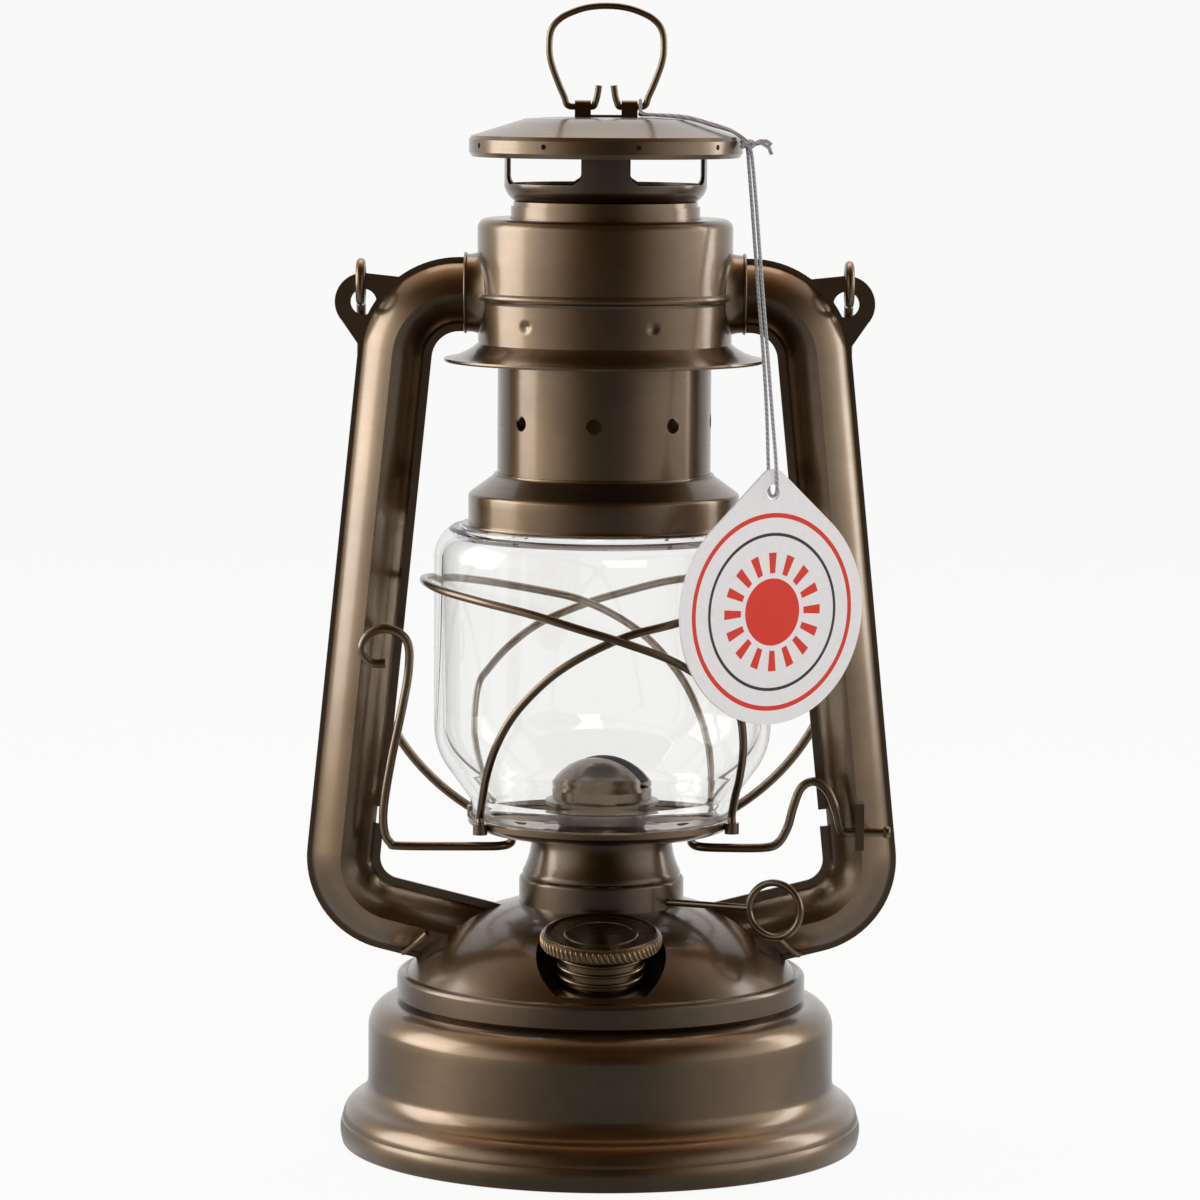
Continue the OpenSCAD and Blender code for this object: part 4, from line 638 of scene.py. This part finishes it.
# Hang tag: a pear-shaped printed card with a punched hole.
# Coated white board, slightly glossy; a plain sun in red and grey rings is printed on its face.
tag_r, top_r, drop, hole_up, hole_r, board_thick = 28.5, 4.5, 31.6, 30.2, 2.0, 0.7
lean = math.degrees(math.asin((tag_r - top_r) / drop))
rim = arc(0, drop, top_r, lean, 180 - lean, 24) + arc(0, 0, tag_r, 180 - lean, 360 + lean, 96)
hole = arc(0, hole_up, hole_r, 0, 360, 32)[:-1]
work = bmesh.new()
uv = work.loops.layers.uv.new("print")
front = [work.verts.new((x, y, 0)) for x, y in rim]
inner = [work.verts.new((x, y, 0)) for x, y in hole]
edges = [work.edges.new((a, b)) for a, b in zip(front, front[1:] + front[:1])]
edges += [work.edges.new((a, b)) for a, b in zip(inner, inner[1:] + inner[:1])]
bmesh.ops.triangle_fill(work, use_beauty=True, edges=edges)
for face in work.faces:
    for loop in face.loops:
        loop[uv].uv = (loop.vert.co.x / 100 + 0.5, loop.vert.co.y / 100 + 0.5)
solid = bmesh.ops.extrude_face_region(work, geom=work.faces[:])
for v in solid["geom"]:
    if isinstance(v, bmesh.types.BMVert):
        v.co.z -= board_thick
bmesh.ops.translate(work, verts=work.verts, vec=(0, 0, board_thick / 2))
bmesh.ops.recalc_face_normals(work, faces=work.faces)
mesh = bpy.data.meshes.new("hang_tag_card")
work.to_mesh(mesh)
work.free()
card_obj = bpy.data.objects.new("hang_tag_card", mesh)
scene.collection.objects.link(card_obj)
turn = math.radians(35)
tag_out, tag_aside, tag_z = 0.05, 0.0167, 0.1415
tag_place = (Matrix.Translation((tag_out * math.sin(turn) + tag_aside * math.cos(turn),
                                 -tag_out * math.cos(turn) + tag_aside * math.sin(turn), tag_z))
             @ Matrix.Rotation(turn, 4, "Z") @ Matrix.Rotation(math.radians(90), 4, "X"))
mesh.transform(tag_place @ Matrix.Scale(0.001, 4))

card, tree = new_material("coated_printed_card")
where = add(tree, "ShaderNodeUVMap", uv_map="print")
centred = add(tree, "ShaderNodeVectorMath", operation="SUBTRACT", values={1: (0.5, 0.5, 0)},
              links={0: where.outputs[0]})
far = add(tree, "ShaderNodeVectorMath", operation="LENGTH", links={0: centred.outputs[0]})
parts = add(tree, "ShaderNodeSeparateXYZ", links={0: centred.outputs[0]})
angle = add(tree, "ShaderNodeMath", operation="ARCTAN2", links={0: parts.outputs["Y"], 1: parts.outputs["X"]})


def band_mask(low, high):
    above = add(tree, "ShaderNodeMath", operation="GREATER_THAN", values={1: low},
                links={0: far.outputs["Value"]})
    below = add(tree, "ShaderNodeMath", operation="LESS_THAN", values={1: high},
                links={0: far.outputs["Value"]})
    return add(tree, "ShaderNodeMath", operation="MULTIPLY", links={0: above.outputs[0], 1: below.outputs[0]})


def spokes(count, fill):
    wave = add(tree, "ShaderNodeMath", operation="MULTIPLY", values={1: count}, links={0: angle.outputs[0]})
    wave = add(tree, "ShaderNodeMath", operation="COSINE", links={0: wave.outputs[0]})
    return add(tree, "ShaderNodeMath", operation="GREATER_THAN", values={1: fill}, links={0: wave.outputs[0]})


rays_ring = add(tree, "ShaderNodeMath", operation="MULTIPLY",
                links={0: band_mask(0.098, 0.15).outputs[0], 1: spokes(16, 0.25).outputs[0]})
red = add(tree, "ShaderNodeMath", operation="MAXIMUM",
          links={0: band_mask(0.238, 0.25).outputs[0], 1: band_mask(-1, 0.085).outputs[0]})
red = add(tree, "ShaderNodeMath", operation="MAXIMUM", links={0: red.outputs[0], 1: rays_ring.outputs[0]})
grey = band_mask(0.192, 0.2)
speck = add(tree, "ShaderNodeTexNoise", values={"Scale": 60, "Detail": 3}, links={"Vector": where.outputs[0]})
board = add(tree, "ShaderNodeMix", data_type="RGBA",
            values={6: hex_linear("#e2e5eb"), 7: hex_linear("#eff1f6")}, links={0: speck.outputs[0]})
inked = add(tree, "ShaderNodeMix", data_type="RGBA", values={7: hex_linear("#d8392b")},
            links={0: red.outputs[0], 6: board.outputs[2]})
inked = add(tree, "ShaderNodeMix", data_type="RGBA", values={7: hex_linear("#3a3436")},
            links={0: grey.outputs[0], 6: inked.outputs[2]})
face = add(tree, "ShaderNodeBsdfPrincipled", values={"Roughness": 0.42, "Specular IOR Level": 0.4},
           links={"Base Color": inked.outputs[2]})
add(tree, "ShaderNodeOutputMaterial", links={"Surface": face.outputs[0]})
fit(card_obj, "hang_tag", "chimney", card)

# String: a limp silver-grey thread of two plies, looped round the ring's foot and through the tag's hole.
# Its whole length is in view; a small knot gathers both strands at the canopy's edge, with two short tails.
string_route = [
    (8.7, 1.9, 267.6), (8.7, 1.1, 268.9), (8.7, -0.7, 269.1), (8.7, -1.9, 267.6), (8.8, -2.3, 266.4),
    (9.8, -3.0, 265.75), (12.5, -4.0, 265.5), (17, -5.4, 265.2), (21.5, -6.8, 264.6), (27, -8.6, 263.0),
    (32, -10.2, 261.5), (35.4, -11.2, 259.3), (36.6, -11.9, 257.0), (37.2, -12.8, 253), (38.1, -15.3, 243),
    (39.0, -18.5, 231), (40.0, -21.9, 218), (41.1, -25.3, 205), (42.1, -28.7, 192), (43.0, -31.6, 181),
    (43.4, -32.8, 174.4), (43.3, -32.6, 171.7), (42.4, -31.4, 170.6), (41.5, -30.2, 171.7),
    (41.4, -29.9, 174.4), (41.2, -29.3, 181), (40.8, -27.4, 192), (40.0, -24.4, 205), (38.9, -21.0, 218),
    (37.9, -17.6, 231),
    (37.0, -14.3, 243), (36.2, -11.6, 253), (35.8, -10.5, 257.2), (34.9, -9.7, 259.5), (31.6, -8.5, 261.8),
    (26.8, -7.0, 263.4), (21.3, -5.4, 264.9), (17, -4.0, 265.4), (12.5, -2.2, 265.5), (10.2, -1.2, 265.5),
    (8.7, 0.1, 265.55), (8.7, 1.3, 265.9)]
thread, tree = new_material("twisted_silver_thread")
place = add(tree, "ShaderNodeTexCoord")
ply = add(tree, "ShaderNodeTexWave", values={"Scale": 450, "Distortion": 1.0}, bands_direction="DIAGONAL",
          links={"Vector": place.outputs["Object"]})
tint = add(tree, "ShaderNodeMix", data_type="RGBA",
           values={6: hex_linear("#96969c"), 7: hex_linear("#bcbcc2")}, links={0: ply.outputs[0]})
relief = add(tree, "ShaderNodeBump", values={"Strength": 0.5, "Distance": 0.00015},
             links={"Height": ply.outputs[0]})
yarn = add(tree, "ShaderNodeBsdfPrincipled", values={"Roughness": 0.45, "Metallic": 0.35, "Sheen Weight": 0.3},
           links={"Base Color": tint.outputs[2], "Normal": relief.outputs[0]})
add(tree, "ShaderNodeOutputMaterial", links={"Surface": yarn.outputs[0]})
string_line = spline(string_route, 6)
thread_r = 0.45
string = wire("tag_thread", string_line, thread_r, 10)
fit(string, "tag_string", "chimney", thread, 60)
knot_line = [(41.9, -13.0, 255.9), (41.2, -12.4, 257.6), (39.4, -11.5, 258.7)]
knot_steps, knot_x, knot_y, knot_z = 72, 35.8, -11, 258.4
for i in range(knot_steps + 1):
    t = 4 * math.pi * i / knot_steps
    wide = 1.25 * (1 + 0.35 * math.cos(1.5 * t))
    rise = 0.75 * math.sin(1.5 * t)
    knot_line.append((knot_x + wide * math.cos(t), knot_y + wide * math.sin(t), knot_z + rise))
knot_line += [(39.0, -10.8, 259.2), (40.6, -10.9, 259.2), (41.9, -11.3, 258.3)]
knot = wire("thread_knot", knot_line, 0.5, 10)
fit(knot, "string_knot", "chimney", thread, 60)
